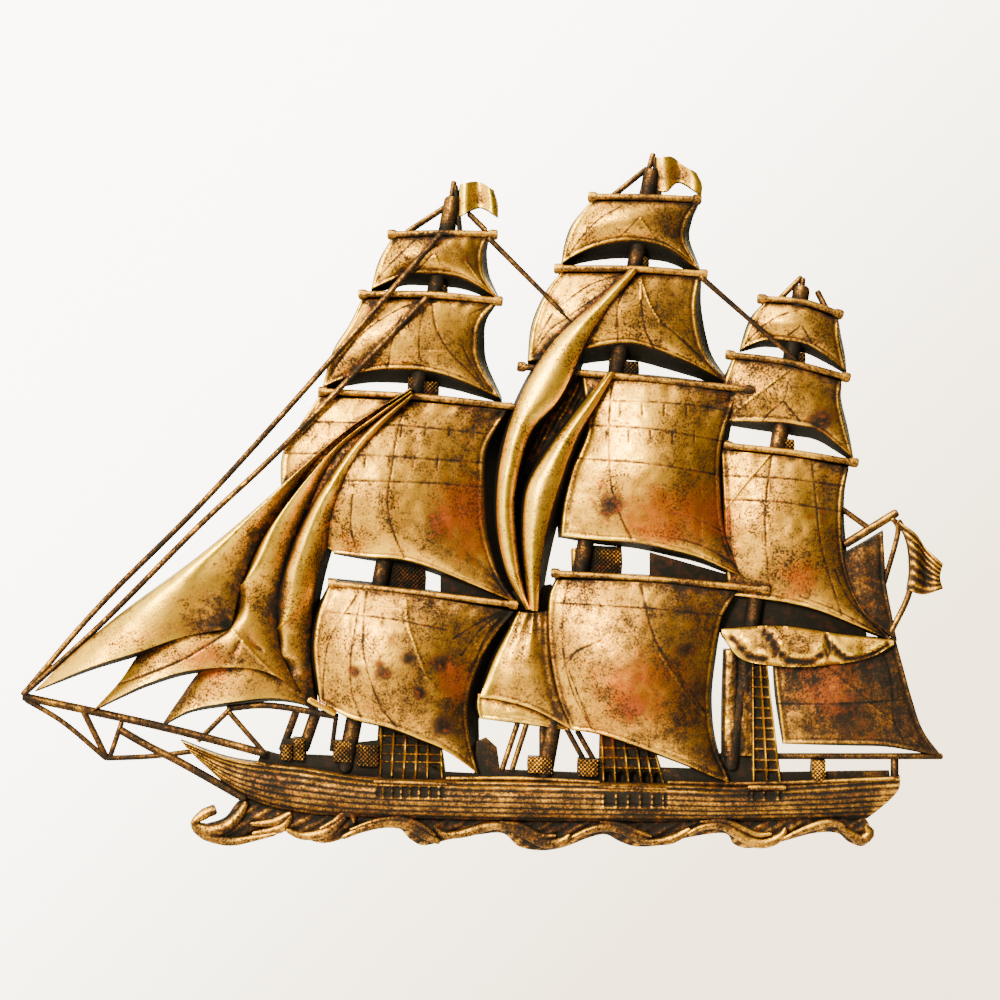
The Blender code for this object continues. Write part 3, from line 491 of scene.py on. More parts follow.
def creases(columns, rows, lines, width=5.0):
    """Soft hollows along lines that widen and fade towards their far end."""
    cover = np.zeros(columns.shape)
    for points in lines:
        away, along = near_line(columns, rows, points)
        cover = np.maximum(cover, (1 - along) * hump(away, 0, width * (0.3 + along)))
    return cover


def add_form(form, tone=0.0, crown_highlight=0.0):
    """Keeps a closed form, with how dark a wash it carries, and how much less where it faces the front, up and left:
    partly the dry-brushed crown and partly a painted highlight towards the key light.
    """
    mesh = bpy.data.meshes.new("form")
    form.to_mesh(mesh)
    form.free()
    facing = np.empty(len(mesh.vertices) * 3, np.float32)
    mesh.vertices.foreach_get("normal", facing)
    right, out, up = facing.reshape(-1, 3).T
    mesh.attributes.new("wash_and_shade", "FLOAT", "POINT")
    # Painted highlight: the wash thins where the surface faces front, up and to the left, towards the key light
    set_wash_and_shade(mesh, tone - crown_highlight * np.clip(0.40 * up - 0.30 * right - 0.85 * out, 0, 1) ** 12)
    forms.append(mesh)
    return mesh


def set_wash_and_shade(mesh, values):
    """Writes how dark a wash each point of a form carries, painted shade and painted highlight included."""
    mesh.attributes["wash_and_shade"].data.foreach_set("value", values.astype(np.float32))


def back_height():
    """Each form's flat back lies a hair in front of the one before it, so that none coincide."""
    return BACK_GAP + BACK_STEP * len(forms)


def from_rings(rings, tone=0.0):
    """A closed solid drawn from ring to ring, each a loop of as many points, with flat ends."""
    form = bmesh.new()
    index = form.verts.layers.int.new("index")
    verts = bmesh.ops.create_circle(form, segments=len(rings[0]), radius=1.0)["verts"]
    for order, vert in enumerate(verts):
        vert[index] = order
        vert.co = rings[0][order]
    edges = list(form.edges)
    for ring in rings[1:]:
        grown = bmesh.ops.extrude_edge_only(form, edges=edges)["geom"]
        edges = [item for item in grown if isinstance(item, bmesh.types.BMEdge)]
        for item in grown:
            if isinstance(item, bmesh.types.BMVert):
                item.co = ring[item[index]]
    bmesh.ops.holes_fill(form, edges=[edge for edge in form.edges if edge.is_boundary])
    bmesh.ops.recalc_face_normals(form, faces=form.faces)
    return add_form(form, tone, crown_highlight=0.48)


def sweep(path, width, stations, section, tone):
    """A closed solid along grid points: section(girth, proud) gives its ring as (outward, depth) pairs."""
    length = line_length(path)
    shares = np.linspace(0, 1, max(2, round(length / BAR_CELL)) + 1)
    tip = min(0.2, 0.35 * width / GRID / length)
    shares = np.union1d(shares, [0.3 * tip, tip, 1 - tip, 1 - 0.3 * tip])
    girths = np.ones(len(shares))
    if stations:
        shares = np.union1d(shares, [station[0] for station in stations])
        girths = np.interp(shares, *zip(*stations))
    from_end = np.clip(np.minimum(shares, 1 - shares) / tip, 0, 1)
    girths = girths * (0.55 + 0.45 * np.sqrt(1 - (1 - from_end) ** 2))
    line = smooth_line(path, shares)
    rings = []
    for order, (column, row, proud) in enumerate(line):
        ahead = line[min(order + 1, len(line) - 1)]
        behind = line[max(order - 1, 0)]
        along = Vector((ahead[0] - behind[0], behind[1] - ahead[1])).normalized()
        foot = Vector(places(column, row, 0.0))
        pairs = section(girths[order], proud)
        rings.append([foot + Vector((-along.y * out, -depth, along.x * out)) for out, depth in pairs])
    return from_rings(rings, tone)


def bar(path, width, stations=None, tone=0.98):
    """A round bar that stands free of the wall. Each grid point carries how proud its middle stands."""

    def section(girth, proud):
        turns = [2 * math.pi * (side + 0.5) / BAR_SIDES for side in range(BAR_SIDES)]
        half = width / 2 * girth
        return [(half * math.cos(turn), proud + half * math.sin(turn)) for turn in turns]

    return sweep(path, width, stations, section, tone)


def ridge(path, width, stations=None, tone=0.98):
    """A rib that runs back to the wall, round along its front. Each grid point carries its height."""
    back = back_height()

    def section(girth, proud):
        half = width / 2 * girth
        rise = min(half, proud - 2 * BACK_GAP)
        turns = [math.pi * (1 - side / (BAR_SIDES - 3)) for side in range(BAR_SIDES - 2)]
        front = [(half * math.cos(turn), proud - rise + rise * math.sin(turn)) for turn in turns]
        return [(-half, back), *front, (half, back)]

    return sweep(path, width, stations, section, tone)


def plate(outline, proud, soften=0.0009, tone=0.9):
    """A flat plate on the wall, with a straight-sided outline of grid points and a softened front edge."""
    back = back_height()
    form = bmesh.new()
    verts = [form.verts.new(places(column, row, back)) for column, row in outline]
    base = form.faces.new(verts)
    front = bmesh.ops.extrude_face_region(form, geom=[base])["geom"]
    raised = [item for item in front if isinstance(item, bmesh.types.BMVert)]
    bmesh.ops.translate(form, verts=raised, vec=(0, back - proud, 0))
    rim = [edge for edge in form.edges if all(vert in raised for vert in edge.verts)]
    bmesh.ops.bevel(form, geom=rim, offset=soften, segments=2, profile=0.5, affect="EDGES", material=-1)
    bmesh.ops.recalc_face_normals(form, faces=form.faces)
    return add_form(form, tone)


def bow(share, least=0.3):
    """1 halfway along, and down to `least` at both ends."""
    return least + (1 - least) * np.sin(np.pi * np.clip(share, 0, 1))


def swell(across, down):
    """How a sail fills, from 0 at its sides to 1, still part full at its head and foot."""
    across = np.clip(across, 0, 1)
    return np.sin(np.pi * across) ** 0.8 * np.sin(np.pi * (0.12 + 0.76 * down))


def cloth(head, foot, luff, leech, proud, carve=None, skirts=(1, 1, 1, 1), cell=CELL, tone=0.0):
    """A sail or other relief patch between four edges, with drafted side walls down to the back.

    head and foot run left to right, and luff and leech hold the points between their ends, top to
    bottom. proud gives the height at shares (across, down), carve gives the fine relief and the darkening,
    dark wash and painted shade together, at (columns, rows, across, down), skirts are the walls' spread
    at the head, luff, leech and foot in grid steps, and tone is how dark a wash the whole front carries.
    """
    left_points = [head[0], *luff, foot[0]]
    right_points = [head[-1], *leech, foot[-1]]
    cells_across = max(2, round(max(line_length(head), line_length(foot)) / cell))
    cells_down = max(2, round(max(line_length(left_points), line_length(right_points)) / cell))
    form = bmesh.new()
    bmesh.ops.create_grid(form, x_segments=cells_across, y_segments=cells_down, size=0.5)
    share_across = form.verts.layers.float.new("across")
    share_down = form.verts.layers.float.new("down")
    ring_of = form.verts.layers.int.new("ring")
    for vert in form.verts:
        vert[share_across] = vert.co.x + 0.5
        vert[share_down] = 0.5 - vert.co.y
    edges = [item for item in form.edges if item.is_boundary]
    for ring in range(1, len(WALL) + 1):
        grown = bmesh.ops.extrude_edge_only(form, edges=edges)["geom"]
        edges = [item for item in grown if isinstance(item, bmesh.types.BMEdge) and item.is_boundary]
        for item in grown:
            if isinstance(item, bmesh.types.BMVert):
                item[ring_of] = ring
    bmesh.ops.holes_fill(form, edges=[item for item in form.edges if item.is_boundary])
    back = back_height()
    mesh = add_form(form)

    count = len(mesh.vertices)
    across = np.empty(count, np.float32)
    down = np.empty(count, np.float32)
    ring = np.empty(count, np.int32)
    mesh.attributes["across"].data.foreach_get("value", across)
    mesh.attributes["down"].data.foreach_get("value", down)
    mesh.attributes["ring"].data.foreach_get("value", ring)
    i = np.rint(across * cells_across).astype(int)
    j = np.rint(down * cells_down).astype(int)
    across = (i / cells_across)[:, None]
    down = (j / cells_down)[:, None]
    top = smooth_line(head, np.linspace(0, 1, cells_across + 1))
    bottom = smooth_line(foot, np.linspace(0, 1, cells_across + 1))
    left = smooth_line(left_points, np.linspace(0, 1, cells_down + 1))
    right = smooth_line(right_points, np.linspace(0, 1, cells_down + 1))
    upright = top[i] * (1 - down) + bottom[i] * down
    level = left[j] * (1 - across) + right[j] * across
    upper = top[0] * (1 - across) + top[-1] * across
    lower = bottom[0] * (1 - across) + bottom[-1] * across
    at = upright + level - upper * (1 - down) - lower * down
    columns, rows = at[:, 0], at[:, 1]
    across, down = across[:, 0], down[:, 0]
    height = proud(across, down)
    darkening = 0.0
    if carve:
        relief, darkening = carve(columns, rows, across, down)
        height = height + relief
    height = np.maximum(height, 2 * back)
    over_head, over_luff, over_leech, over_foot = skirts
    height_left, spread, wall_wash_and_shade = np.array([(1.0, 0.0, 0.0), *WALL]).T
    height = back + (height - back) * height_left[ring]
    out = spread[ring]
    front = np.clip(tone + darkening, 0, 1)
    # The side walls and the rounded rim above them are darkened: painted shade, together with the dark wash left on
    # them
    set_wash_and_shade(mesh, front + (1 - front) * wall_wash_and_shade[ring])
    columns = columns - over_luff * bow(down) * (i == 0) * out
    columns = columns + over_leech * bow(down) * (i == cells_across) * out
    rows = rows - over_head * (j == 0) * out
    rows = rows + over_foot * bow(across) * (j == cells_down) * out
    mesh.vertices.foreach_set("co", places(columns, rows, height).astype(np.float32).ravel())
    mesh.update()
    return mesh


def sail(name, head, foot, luff, leech, rim, belly, skirts, tone=0.0):
    """A square sail: rim is the height of its edges, belly how far it fills."""
    tall = line_length([head[0], foot[0]])
    wide = line_length([head[0], head[-1]])

    def proud(across, down):
        return rim + belly * swell(across, down)

    def worked(columns, rows, across, down):
        """The rope round its edge, the gathers under its yard, its seams and the hand-made unevenness, with painted
        shade under its yard and towards its leech and foot.
        """
        from_edge = np.minimum(np.minimum(across, 1 - across) * wide, (1 - down) * tall)
        relief = BOLT_ROPE_RISE * hump(from_edge, 1.4, 1.3)
        relief -= SEAM_DEPTH * hump(from_edge, 4.6, 1.6)
        gather = np.sin(across * wide * 0.33 + 2 * lumps(columns, rows, 30, 7))
        relief += 0.0003 * gather * np.exp(-down * tall / 12)
        relief += 0.0006 * lumps(columns, rows, 24, 3) + 0.0003 * lumps(columns, rows, 9, 5)
        seam = drawn(columns, rows, SEAMS.get(name, ()), 0.85) * (0.75 + 0.5 * lumps(columns, rows, 6, 8))
        fold = creases(columns, rows, FOLDS.get(name, ()), 8.0)
        relief -= SEAM_DEPTH * seam + FOLD_DEPTH * fold
        relief += cords_on(columns, rows, ROPES.get(name, ()), 1.0, 0.0007)
        # Painted shade: a shadow line under the yard, and darker towards the leech and foot, away from the light; the
        # seams, folds and the groove inside the rope carry the dark wash
        yard_shadow = hump(down * tall, 0, 4.0)
        groove = hump(from_edge, 4.6, 1.5)
        away_from_light = 0.38 * np.clip((across - 0.22) / 0.78, 0, 1) ** 1.3 + 0.14 * np.clip(down, 0, 1) ** 3
        return relief, 0.55 * seam + 0.20 * fold + 0.40 * yard_shadow + 0.20 * groove + away_from_light

    return cloth(head, foot, luff, leech, proud, worked, skirts, tone=tone)


def yard(path):
    """A yard with a knob on each arm."""
    knob = YARD_ARM_KNOB / (GRID * (path[-1][0] - path[0][0]))
    girth = YARD_ARM_KNOB / YARD_THICKNESS
    arm = [(0.0, girth), (0.75 * knob, girth), (knob, 1.0)]
    other_arm = [(1 - share, width) for share, width in reversed(arm)]
    ridge(path, YARD_THICKNESS, stations=[*arm, (0.5, 1.15), *other_arm], tone=0.72)


def knurled(left, top, right, bottom, proud):
    """A small lashed block or doubling, its front cut into a grid of knobs."""

    def nubs(columns, rows, across, down):
        knob = np.sin(columns * 1.5) * np.sin(rows * 1.5)
        return 0.0010 * knob, 0.5 * (knob < 0)

    def front(across, down):
        return proud - 0.002 * (2 * across - 1) ** 2

    head = [(left, top), (right, top + 1)]
    foot = [(left, bottom), (right, bottom + 1)]
    middle = (top + bottom) / 2
    cloth(head, foot, [(left, middle)], [(right, middle)], front, nubs, cell=FINE_CELL, tone=0.55)


def flat_front(height):
    """A flat front for cloth, at this height."""

    def proud(across, down):
        return height + 0 * across

    return proud


def lattice(uprights, rungs, arches, height=0.0030):
    """Shrouds in relief, as a carve for cloth: raised lines on a dark sunk ground, over round holes."""

    def carve(columns, rows, across, down):
        lines = np.maximum(drawn(columns, rows, uprights, 1.5), 0.7 * drawn(columns, rows, rungs, 1.2))
        holes = np.zeros(columns.shape)
        for column, row in arches:
            away = ((columns - column) / 3.6) ** 2 + ((rows - row) / 5.6) ** 2
            holes = np.maximum(holes, np.exp(-(away**2)))
        lines = lines * (1 - holes)
        return height * (lines - 1.5 * holes), 0.95 - 0.75 * lines

    return carve


def mast(top, foot, rods, yards, sails):
    """A mast, the thin rods at its head, its yards, then its sails by their names in SAILS."""
    ridge([(*top, MAST_PROUD), (*foot, MAST_PROUD)], MAST_WIDTH)
    for rod in rods:
        ridge(rod, ROD_THICKNESS)
    for path in yards:
        yard(path)
    for name in sails:
        made = sail(name, *SAILS[name])
        if name in KEYHOLE_AT:
            keyhole(made, KEYHOLE_AT[name])


def fore_mast():
    """The fore mast with its royal, topgallant, topsail and course."""
    rods = [
        [(454, 180, 0.008), (446, 232, 0.012)], [(455, 184, 0.008), (460, 232, 0.012)],
        [(450, 203, 0.008), (406, 232, 0.014)], [(468, 212, 0.008), (486, 230, 0.014)],
    ]
    yards = [
        [(387, 234, 0.016), (445, 233, 0.017), (498, 234, 0.016)],
        [(358, 294, 0.018), (430, 294.5, 0.020), (503, 301, 0.018)],
        [(318, 391, 0.020), (420, 397, 0.022), (526, 408, 0.020)],
        [(328, 583, 0.020), (403, 591.5, 0.022), (518, 605, 0.021)],
    ]
    mast((453, 196), (344, 772), rods, yards, ["fore_royal", "fore_topgallant", "fore_topsail", "fore_course"])


def main_mast():
    """The main mast with the same four sails."""
    rods = [
        [(654, 152, 0.008), (641, 197, 0.012)], [(655, 156, 0.008), (660, 197, 0.012)],
        [(648, 167, 0.008), (612, 196, 0.014)],
    ]
    yards = [
        [(588, 196, 0.016), (645, 197, 0.017), (702, 199, 0.016)],
        [(554, 268, 0.018), (635, 269, 0.020), (708, 274, 0.018)],
        [(517, 366, 0.018), (615, 376, 0.022), (754, 390, 0.021)],
        [(551, 573, 0.020), (660, 580, 0.022), (770, 590, 0.021)],
    ]
    mast((653, 168), (544, 778), rods, yards, ["main_royal", "main_topgallant", "main_topsail", "main_course"])


def mizzen_mast():
    """The mizzen mast with its three square sails."""
    rods = [
        [(803, 276, 0.008), (779, 300, 0.012)], [(804, 277, 0.008), (801, 305, 0.012)],
        [(818, 290, 0.010), (829, 312, 0.013)],
    ]
    yards = [
        [(758, 298, 0.014), (804, 302, 0.015), (844, 315, 0.014)],
        [(726, 354, 0.016), (787, 362, 0.017), (851, 378, 0.016)],
        [(724, 445, 0.016), (795, 453, 0.018), (859, 463, 0.017)],
    ]
    mast((803, 285), (731, 770), rods, yards, ["mizzen_royal", "mizzen_topgallant", "mizzen_topsail"])


def head_sail(name, top, tack, clew, luff, leech, foot, sunk):
    """A long triangular sail, full across its middle. sunk is how far it lies below the outer jib."""
    start = HEAD_SAILS["outer_jib"][1]

    def proud(across, down):
        return JIB_FULLNESS * np.sin(np.pi * np.clip(across, 0, 1)) ** 0.9

    def worked(columns, rows, across, down):
        """The climb from the bow to the shoulder that all these sails share, then creases, seams, the sheet and
        painted shade.
        """
        along = np.clip(((columns - start[0]) * 0.778 - (rows - start[1]) * 0.627) / JIB_RUN, 0, 1)
        climb = np.sin(np.pi * np.minimum(1.0, 1.25 * along)) * 0.35 + along * 0.65
        relief = JIB_TACK_PROUD + (JIB_SHOULDER_PROUD - JIB_TACK_PROUD) * np.minimum(1.0, 1.5 * climb)
        relief -= JIB_EDGE_DROP * np.clip(4 * along, 0, 1)
        relief -= sunk * np.clip(2.2 * down - 0.75, 0, 1) * np.clip(4 * along, 0, 1)
        for column, row, wide, tall, depth in TUCKED.get(name, ()):
            away = ((columns - column) / wide) ** 2 + ((rows - row) / tall) ** 2
            relief -= depth * np.exp(-(away**1.5))
        fold = creases(columns, rows, FOLDS.get(name, ()), 5.0)
        seam = drawn(columns, rows, SEAMS.get(name, ()), 1.0)
        relief += 0.0005 * lumps(columns, rows, 24, 3) - FOLD_DEPTH * fold - 0.0005 * seam
        relief += cords_on(columns, rows, [JIB_SHEET], 1.3, 0.0010) * (sunk > 0)
        # Painted shade: a shadow along the luff where it runs under the sail before it, dark edges at luff, leech and
        # foot, and darker towards the leech, away from the light
        luff_in_shadow = np.clip((along - 0.33) / 0.1, 0, 1) * (sunk > 0)
        darkening = 0.85 * luff_in_shadow * hump(across, 0, 0.27) + 0.30 * (1 - luff_in_shadow) * hump(across, 0, 0.10)
        darkening += 0.25 * hump(1 - across, 0, 0.10) + 0.30 * np.clip((down - 0.9) / 0.1, 0, 1)
        darkening += 0.34 * np.clip((across - 0.5) / 0.5, 0, 1) ** 1.3
        return relief, darkening + 0.25 * fold + 0.6 * seam

    head = [top, (top[0] + 3, top[1] + 2)]
    cloth(head, [tack, *foot, clew], luff, leech, proud, worked, (1, 2, 7, 5), JIB_CELL)


def head_sails():
    """The sails between the bowsprit and the fore mast."""
    for name, shape in HEAD_SAILS.items():
        head_sail(name, *shape)
    # The loose end of the sheet, and the rod along the foot of the last sail
    bar([(308, 699, 0.022), (336, 714, 0.018)], STAY_THICKNESS, tone=0.4)
    bar([(226, 709, 0.008), (270, 706, 0.010), (338, 717, 0.012)], 0.005)


def head_stays():
    """The two stays to the bowsprit's end, then those from mast to mast, which narrow as they go."""
    bow_tip = (21, 696, 0.008)
    bar([bow_tip, (100, 605, 0.014), (200, 505, 0.018), (300, 395, 0.020), (442, 233, 0.024)], STAY_THICKNESS)
    bar([bow_tip, (100, 625, 0.015), (200, 525, 0.019), (285, 445, 0.022), (428, 297, 0.026)], STAY_THICKNESS)
    narrowing = [(0.0, 1.0), (1.0, 0.7)]
    bar([(488, 237, 0.014), (577, 327, 0.020)], STAY_THICKNESS, narrowing)
    bar([(700, 276, 0.016), (797, 361, 0.015)], STAY_THICKNESS, narrowing)


def bowsprit():
    """The bowsprit, martingale, dolphin striker, bobstays and the struts of the jib boom."""
    for path, width in (
        ([(21, 697, 0.006), (160, 727, 0.009), (266, 754, 0.014)], BOWSPRIT_THICKNESS),
        ([(24, 700, 0.006), (62, 723, 0.006), (106, 760, 0.006)], ROD_THICKNESS),
        ([(82, 711, 0.007), (106, 760, 0.006)], ROD_THICKNESS * 1.2),
        ([(121, 722, 0.007), (108, 760, 0.006)], ROD_THICKNESS),
        ([(105, 759, 0.006), (150, 757, 0.007), (192, 752, 0.008)], ROD_THICKNESS),
        ([(118, 730, 0.006), (150, 748, 0.008), (180, 763, 0.009), (246, 800, 0.012)], ROD_THICKNESS * 1.5),
        ([(197, 742, 0.010), (231, 708, 0.010)], ROD_THICKNESS),
        ([(228, 712, 0.010), (263, 752, 0.012)], ROD_THICKNESS),
    ):
        bar(path, width)


def stay_strip(head, foot, luff, leech, skirts):
    """A long narrow staysail, round across and standing proudest at mid length."""

    def proud(across, down):
        along = 0.66 + 0.34 * np.sin(np.pi * np.minimum(1.0, 0.15 + down * 0.8))
        return STAYSAIL_PROUD * along + 0.005 * np.sin(np.pi * across)

    def shaded(columns, rows, across, down):
        # Painted shade: dark along the luff where it meets the next strip, and darker towards the leech, away from the
        # light
        darkening = 0.40 * hump(across, 0, 0.13) + 0.42 * np.clip((across - 0.42) / 0.58, 0, 1) ** 1.2
        return 0.0005 * lumps(columns, rows, 20, 3), darkening

    cloth(head, foot, luff, leech, proud, shaded, skirts)


def staysails():
    """The sails on the stays between the masts."""
    stay_strip(
        [(631, 268), (638, 270)], [(526, 609), (531, 609)],
        [(602, 296), (552, 344), (519, 400), (501, 460), (497, 520), (507, 573)],
        [(618, 296), (590, 334), (560, 397), (530, 433), (515, 490), (516, 540), (523, 585)], (1, 4, 9, 2),
    )
    stay_strip(
        [(608, 372), (615, 373)], [(529, 610), (538, 611)],
        [(574, 415), (545, 455), (527, 490), (523, 533), (526, 580)],
        [(596, 405), (577, 436), (560, 480), (547, 525), (540, 570)], (1, 8, 12, 2),
    )
    for name in ("lower_staysail", "lower_staysail_foot"):
        sail(name, *SAILS[name])


def spanker():
    """The sails on the gaff and boom, the furled sail, the three flags and the spars they hang on."""
    for name in ("gaff_sail", "spanker"):
        sail(name, *SAILS[name])

    def furled(across, down):
        return FURLED_PROUD + 0.009 * np.sin(np.pi * (0.08 + 0.84 * down)) * bow(across, 0.2)

    def rolled(columns, rows, across, down):
        fold = drawn(columns, rows, ROLLS, 2.6)
        between = drawn(columns, rows, ROLL_GAPS, 2.2)
        relief = 0.0016 * fold - 0.0018 * between + 0.0005 * lumps(columns, rows, 8, 61)
        return relief, 0.36 - 0.30 * fold + 0.75 * between

    cloth(
        [(722, 629), (780, 626), (839, 634), (893, 640)],
        [(723, 637), (742, 659), (778, 666), (818, 666), (865, 659), (894, 645)],
        [(722, 633)], [(894, 642)], furled, rolled, (1, 1, 1, 2),
    )

    def flag(across, down):
        return FLAG_PROUD + 0.002 * np.sin(math.tau * 1.5 * across)

    def striped(columns, rows, across, down):
        stripe = np.sin(math.tau * 7 * down + 0.8 * np.sin(math.tau * across))
        return 0.0005 * stripe, 0.72 - 0.25 * stripe

    cloth(
        [(900, 522), (917, 534), (927, 548), (944, 564)], [(908, 590), (925, 594), (944, 589)],
        [(909, 545), (911, 570)], [(941, 577)], flag, striped, cell=FINE_CELL,
    )
    cloth(
        [(460, 184), (473, 181), (483, 183), (494, 190)], [(459, 216), (476, 207), (485, 208), (498, 217)],
        [(459, 200)], [(497, 203)], flag, skirts=(1, 2, 1, 1),
    )
    cloth(
        [(657, 158), (672, 156), (684, 165), (697, 172)], [(658, 190), (668, 190), (680, 181), (702, 195)],
        [(657, 174)], [(702, 183)], flag, skirts=(1, 2, 1, 1), tone=0.30,
    )
    ridge([(845, 545, 0.014), (899, 512, 0.010)], 0.006)
    ridge([(842, 508, 0.010), (871, 529, 0.011)], ROD_THICKNESS)
    bar([(893, 518, 0.009), (899, 532, 0.008), (885, 584, 0.008)], ROD_THICKNESS)
    bar([(899, 520, 0.009), (911, 545, 0.008), (911, 590, 0.008), (890, 636, 0.009)], ROD_THICKNESS * 1.15)
    ridge([(714, 757, 0.009), (944, 757, 0.010)], ROD_THICKNESS * 1.1)


def hull():
    """The hull, planked lengthwise below its rails."""

    def proud(across, down):
        round_side = HULL_BELLY * np.sin(np.pi * np.clip(down, 0, 1)) ** 0.7
        return HULL_EDGE_PROUD * bow(across, 0.8) + round_side * bow(across, 0.45)

    def planked(columns, rows, across, down):
        course = (down * 7.0 + 0.10 * lumps(columns, rows, 70, 31)) % 1
        seam = hump(course, 0.5, 0.17) * (down > 0.16)
        rails = hump(down, 0.05, 0.030) + hump(down, 0.145, 0.025)
        under_rail = hump(down, 0.095, 0.022)
        grain = lumps(columns / 5, rows * 1.3, 3, 33)
        sunk = np.zeros(columns.shape)
        for left, right, top, bottom in ((376, 446, 786, 798), (600, 668, 793, 807), (748, 784, 791, 800)):
            inside = np.clip(np.minimum(columns - left, right - columns) / 2, 0, 1)
            sunk = np.maximum(sunk, inside * np.clip(np.minimum(rows - top, bottom - rows) / 1.5, 0, 1))
        pins = drawn(columns, rows, CHAIN_PLATES, 1.3)
        hawse = np.exp(-((((columns - 308) / 9) ** 2 + ((rows - 779) / 4.5) ** 2) ** 2))
        relief = 0.0009 * rails - 0.0007 * seam - 0.0006 * under_rail + 0.00015 * grain
        relief += 0.0016 * pins - 0.0010 * sunk + 0.0012 * hawse
        darkening = 0.50 + 0.45 * seam + 0.5 * under_rail + 0.5 * sunk - 0.65 * pins - 0.15 * rails + 0.12 * grain
        return relief, darkening + 0.15 * np.clip((columns - 560) / 300, 0, 1)

    cloth(
        [(180, 741), (232, 759), (301, 767), (380, 778), (520, 781), (671, 784), (760, 786), (901, 777)],
        [(204, 766), (232, 790), (261, 804), (300, 813), (371, 818), (600, 822), (800, 821), (868, 819)],
        [(191, 753)], [(899, 790), (886, 804)], proud, planked,
    )


def hull_fittings():
    """The three ledges on the hull's side that spread the shrouds."""
    ledge = HULL_EDGE_PROUD + CHANNEL_STANDS_OUT
    for start, end in (((374, 782), (447, 785)), ((598, 788), (668, 790)), ((748, 788), (786, 788))):
        ridge([(*start, ledge - 0.003), (*end, ledge - 0.003)], CHANNEL_THICKNESS, tone=0.75)


def shrouds():
    """The three panels of shrouds, each with its ropes, rungs and the round holes at its foot."""
    for height, head, foot, luff, leech, uprights, rungs, holes in (
        (
            SHROUD_PANEL_PROUD - 0.003,
            [(378, 724), (425, 736), (442, 750)], [(377, 784), (412, 784), (446, 785)], [(377, 754)], [(444, 768)],
            [[(381, 722), (380, 784)], [(394, 727), (391, 782)], [(406, 731), (403, 782)], [(417, 735), (415, 782)],
             [(428, 742), (427, 782)], [(441, 750), (442, 782)]],
            [[(378, y), (446, y + 1)] for y in (736, 745, 754, 762, 782)],
            [(386, 771), (398, 772), (409, 773), (421, 773), (434, 774)],
        ),
        (
            SHROUD_PANEL_PROUD - 0.003,
            [(600, 732), (648, 746), (656, 752)], [(600, 789), (634, 789), (667, 790)], [(600, 760)], [(662, 772)],
            [[(602, 732), (604, 789)], [(613, 736), (616, 789)], [(624, 738), (629, 785)], [(636, 742), (642, 785)],
             [(646, 747), (653, 785)], [(655, 752), (664, 785)]],
            [[(600, y), (667, y + 1)] for y in (748, 758, 768, 787)],
            [(609, 778), (622, 778), (635, 778), (647, 779), (658, 780)],
        ),
        (
            SHROUD_PANEL_PROUD - 0.003 + 0.001,
            [(752, 655), (767, 655)], [(752, 787), (783, 787)], [(752, 720)], [(774, 720)],
            [[(753, 655), (754, 787)], [(760, 655), (768, 787)], [(766, 655), (781, 787)]],
            [[(752, y), (782, y + 1)] for y in (667, 677, 687, 697, 708, 718, 728, 739, 749, 760, 770)],
            [(760, 779), (772, 779)],
        ),
    ):
        cloth(head, foot, luff, leech, flat_front(height), lattice(uprights, rungs, holes), cell=FINE_CELL)


def deck():
    """The shrouds, mast steps, posts and the skyline of the deck works behind the rail."""
    shrouds()

    def bark(columns, rows, across, down):
        rough = lumps(columns * 2, rows, 7, 41) + 0.6 * lumps(columns * 2, rows, 3, 42)
        split = hump(across, 0.55, 0.07) + hump(across, 0.02, 0.05)
        return 0.0007 * rough - 0.0022 * split, 0.62 + 0.25 * rough + 0.6 * split

    def ribbed(across, down):
        return MAST_PROUD - 0.001 + 0.001 * np.sin(2 * np.pi * across) ** 2

    # The foot of the mizzen mast
    cloth([(724, 650), (752, 650)], [(722, 756), (752, 756)], [(723, 700)], [(752, 700)], ribbed, bark)
    # Posts, pumps and rope falls that stand on the deck, from the bow to the stern
    for start, end, girth in (
        ((281, 752, 0.009), (296, 711, 0.011), 1), ((302, 752, 0.010), (316, 711, 0.012), 1.5),
        ((331, 752, 0.009), (336, 714, 0.012), 0.6), ((502, 771, 0.011), (518, 723, 0.011), 0.7),
        ((512, 771, 0.011), (527, 724, 0.011), 0.7), ((543, 771, 0.011), (543, 727, 0.011), 1),
        ((588, 768, 0.010), (566, 728, 0.011), 0.7), ((597, 766, 0.010), (577, 731, 0.011), 0.7),
        ((896, 755, 0.008), (896, 779, 0.010), 1), ((819, 755, 0.008), (819, 783, 0.010), 1.4),
    ):
        ridge([start, end], girth * POST_WIDTH)
    for left, top, right, bottom in (
        (528, 757, 552, 773), (578, 759, 598, 776), (281, 744, 292, 760), (293, 738, 304, 760), (333, 741, 352, 762),
        (356, 745, 378, 766), (812, 760, 826, 782),
    ):
        knurled(left, top, right, bottom, DECK_PROUD + 0.002)
    # The rails, then the works behind them
    for path, width, tone in (
        ([(256, 763, 0.0145), (300, 774, 0.0145), (380, 780, 0.0145)], 0.0035, 0.7),
        ([(446, 779, 0.0150), (520, 779, 0.0150), (600, 783, 0.0150)], 0.0030, 0.6),
        ([(668, 783, 0.0145), (760, 784, 0.0145), (895, 779, 0.0145)], 0.0030, 0.7),
    ):
        ridge(path, width, tone=tone)
    forecastle = [(376, 783), (300, 776), (256, 764), (262, 750), (279, 755), (281, 740), (302, 737)]
    deckhouse = [(306, 755), (354, 757), (357, 743), (385, 740)]
    waist = [(440, 772), (474, 774), (476, 742), (486, 738), (497, 748), (500, 770)]
    mast_step = [(528, 771), (529, 757), (553, 757), (554, 772)]
    fife_rail = [(577, 773), (578, 759), (604, 759), (604, 788)]
    quarter = [(660, 790), (660, 768), (720, 770), (722, 752), (756, 752)]
    after_house = [(757, 773), (890, 771), (892, 785), (760, 791)]
    for outline in ([*forecastle, *deckhouse, *waist, *mast_step, *fife_rail], [*quarter, *after_house]):
        plate(outline, DECK_PROUD - 0.003, tone=0.95)


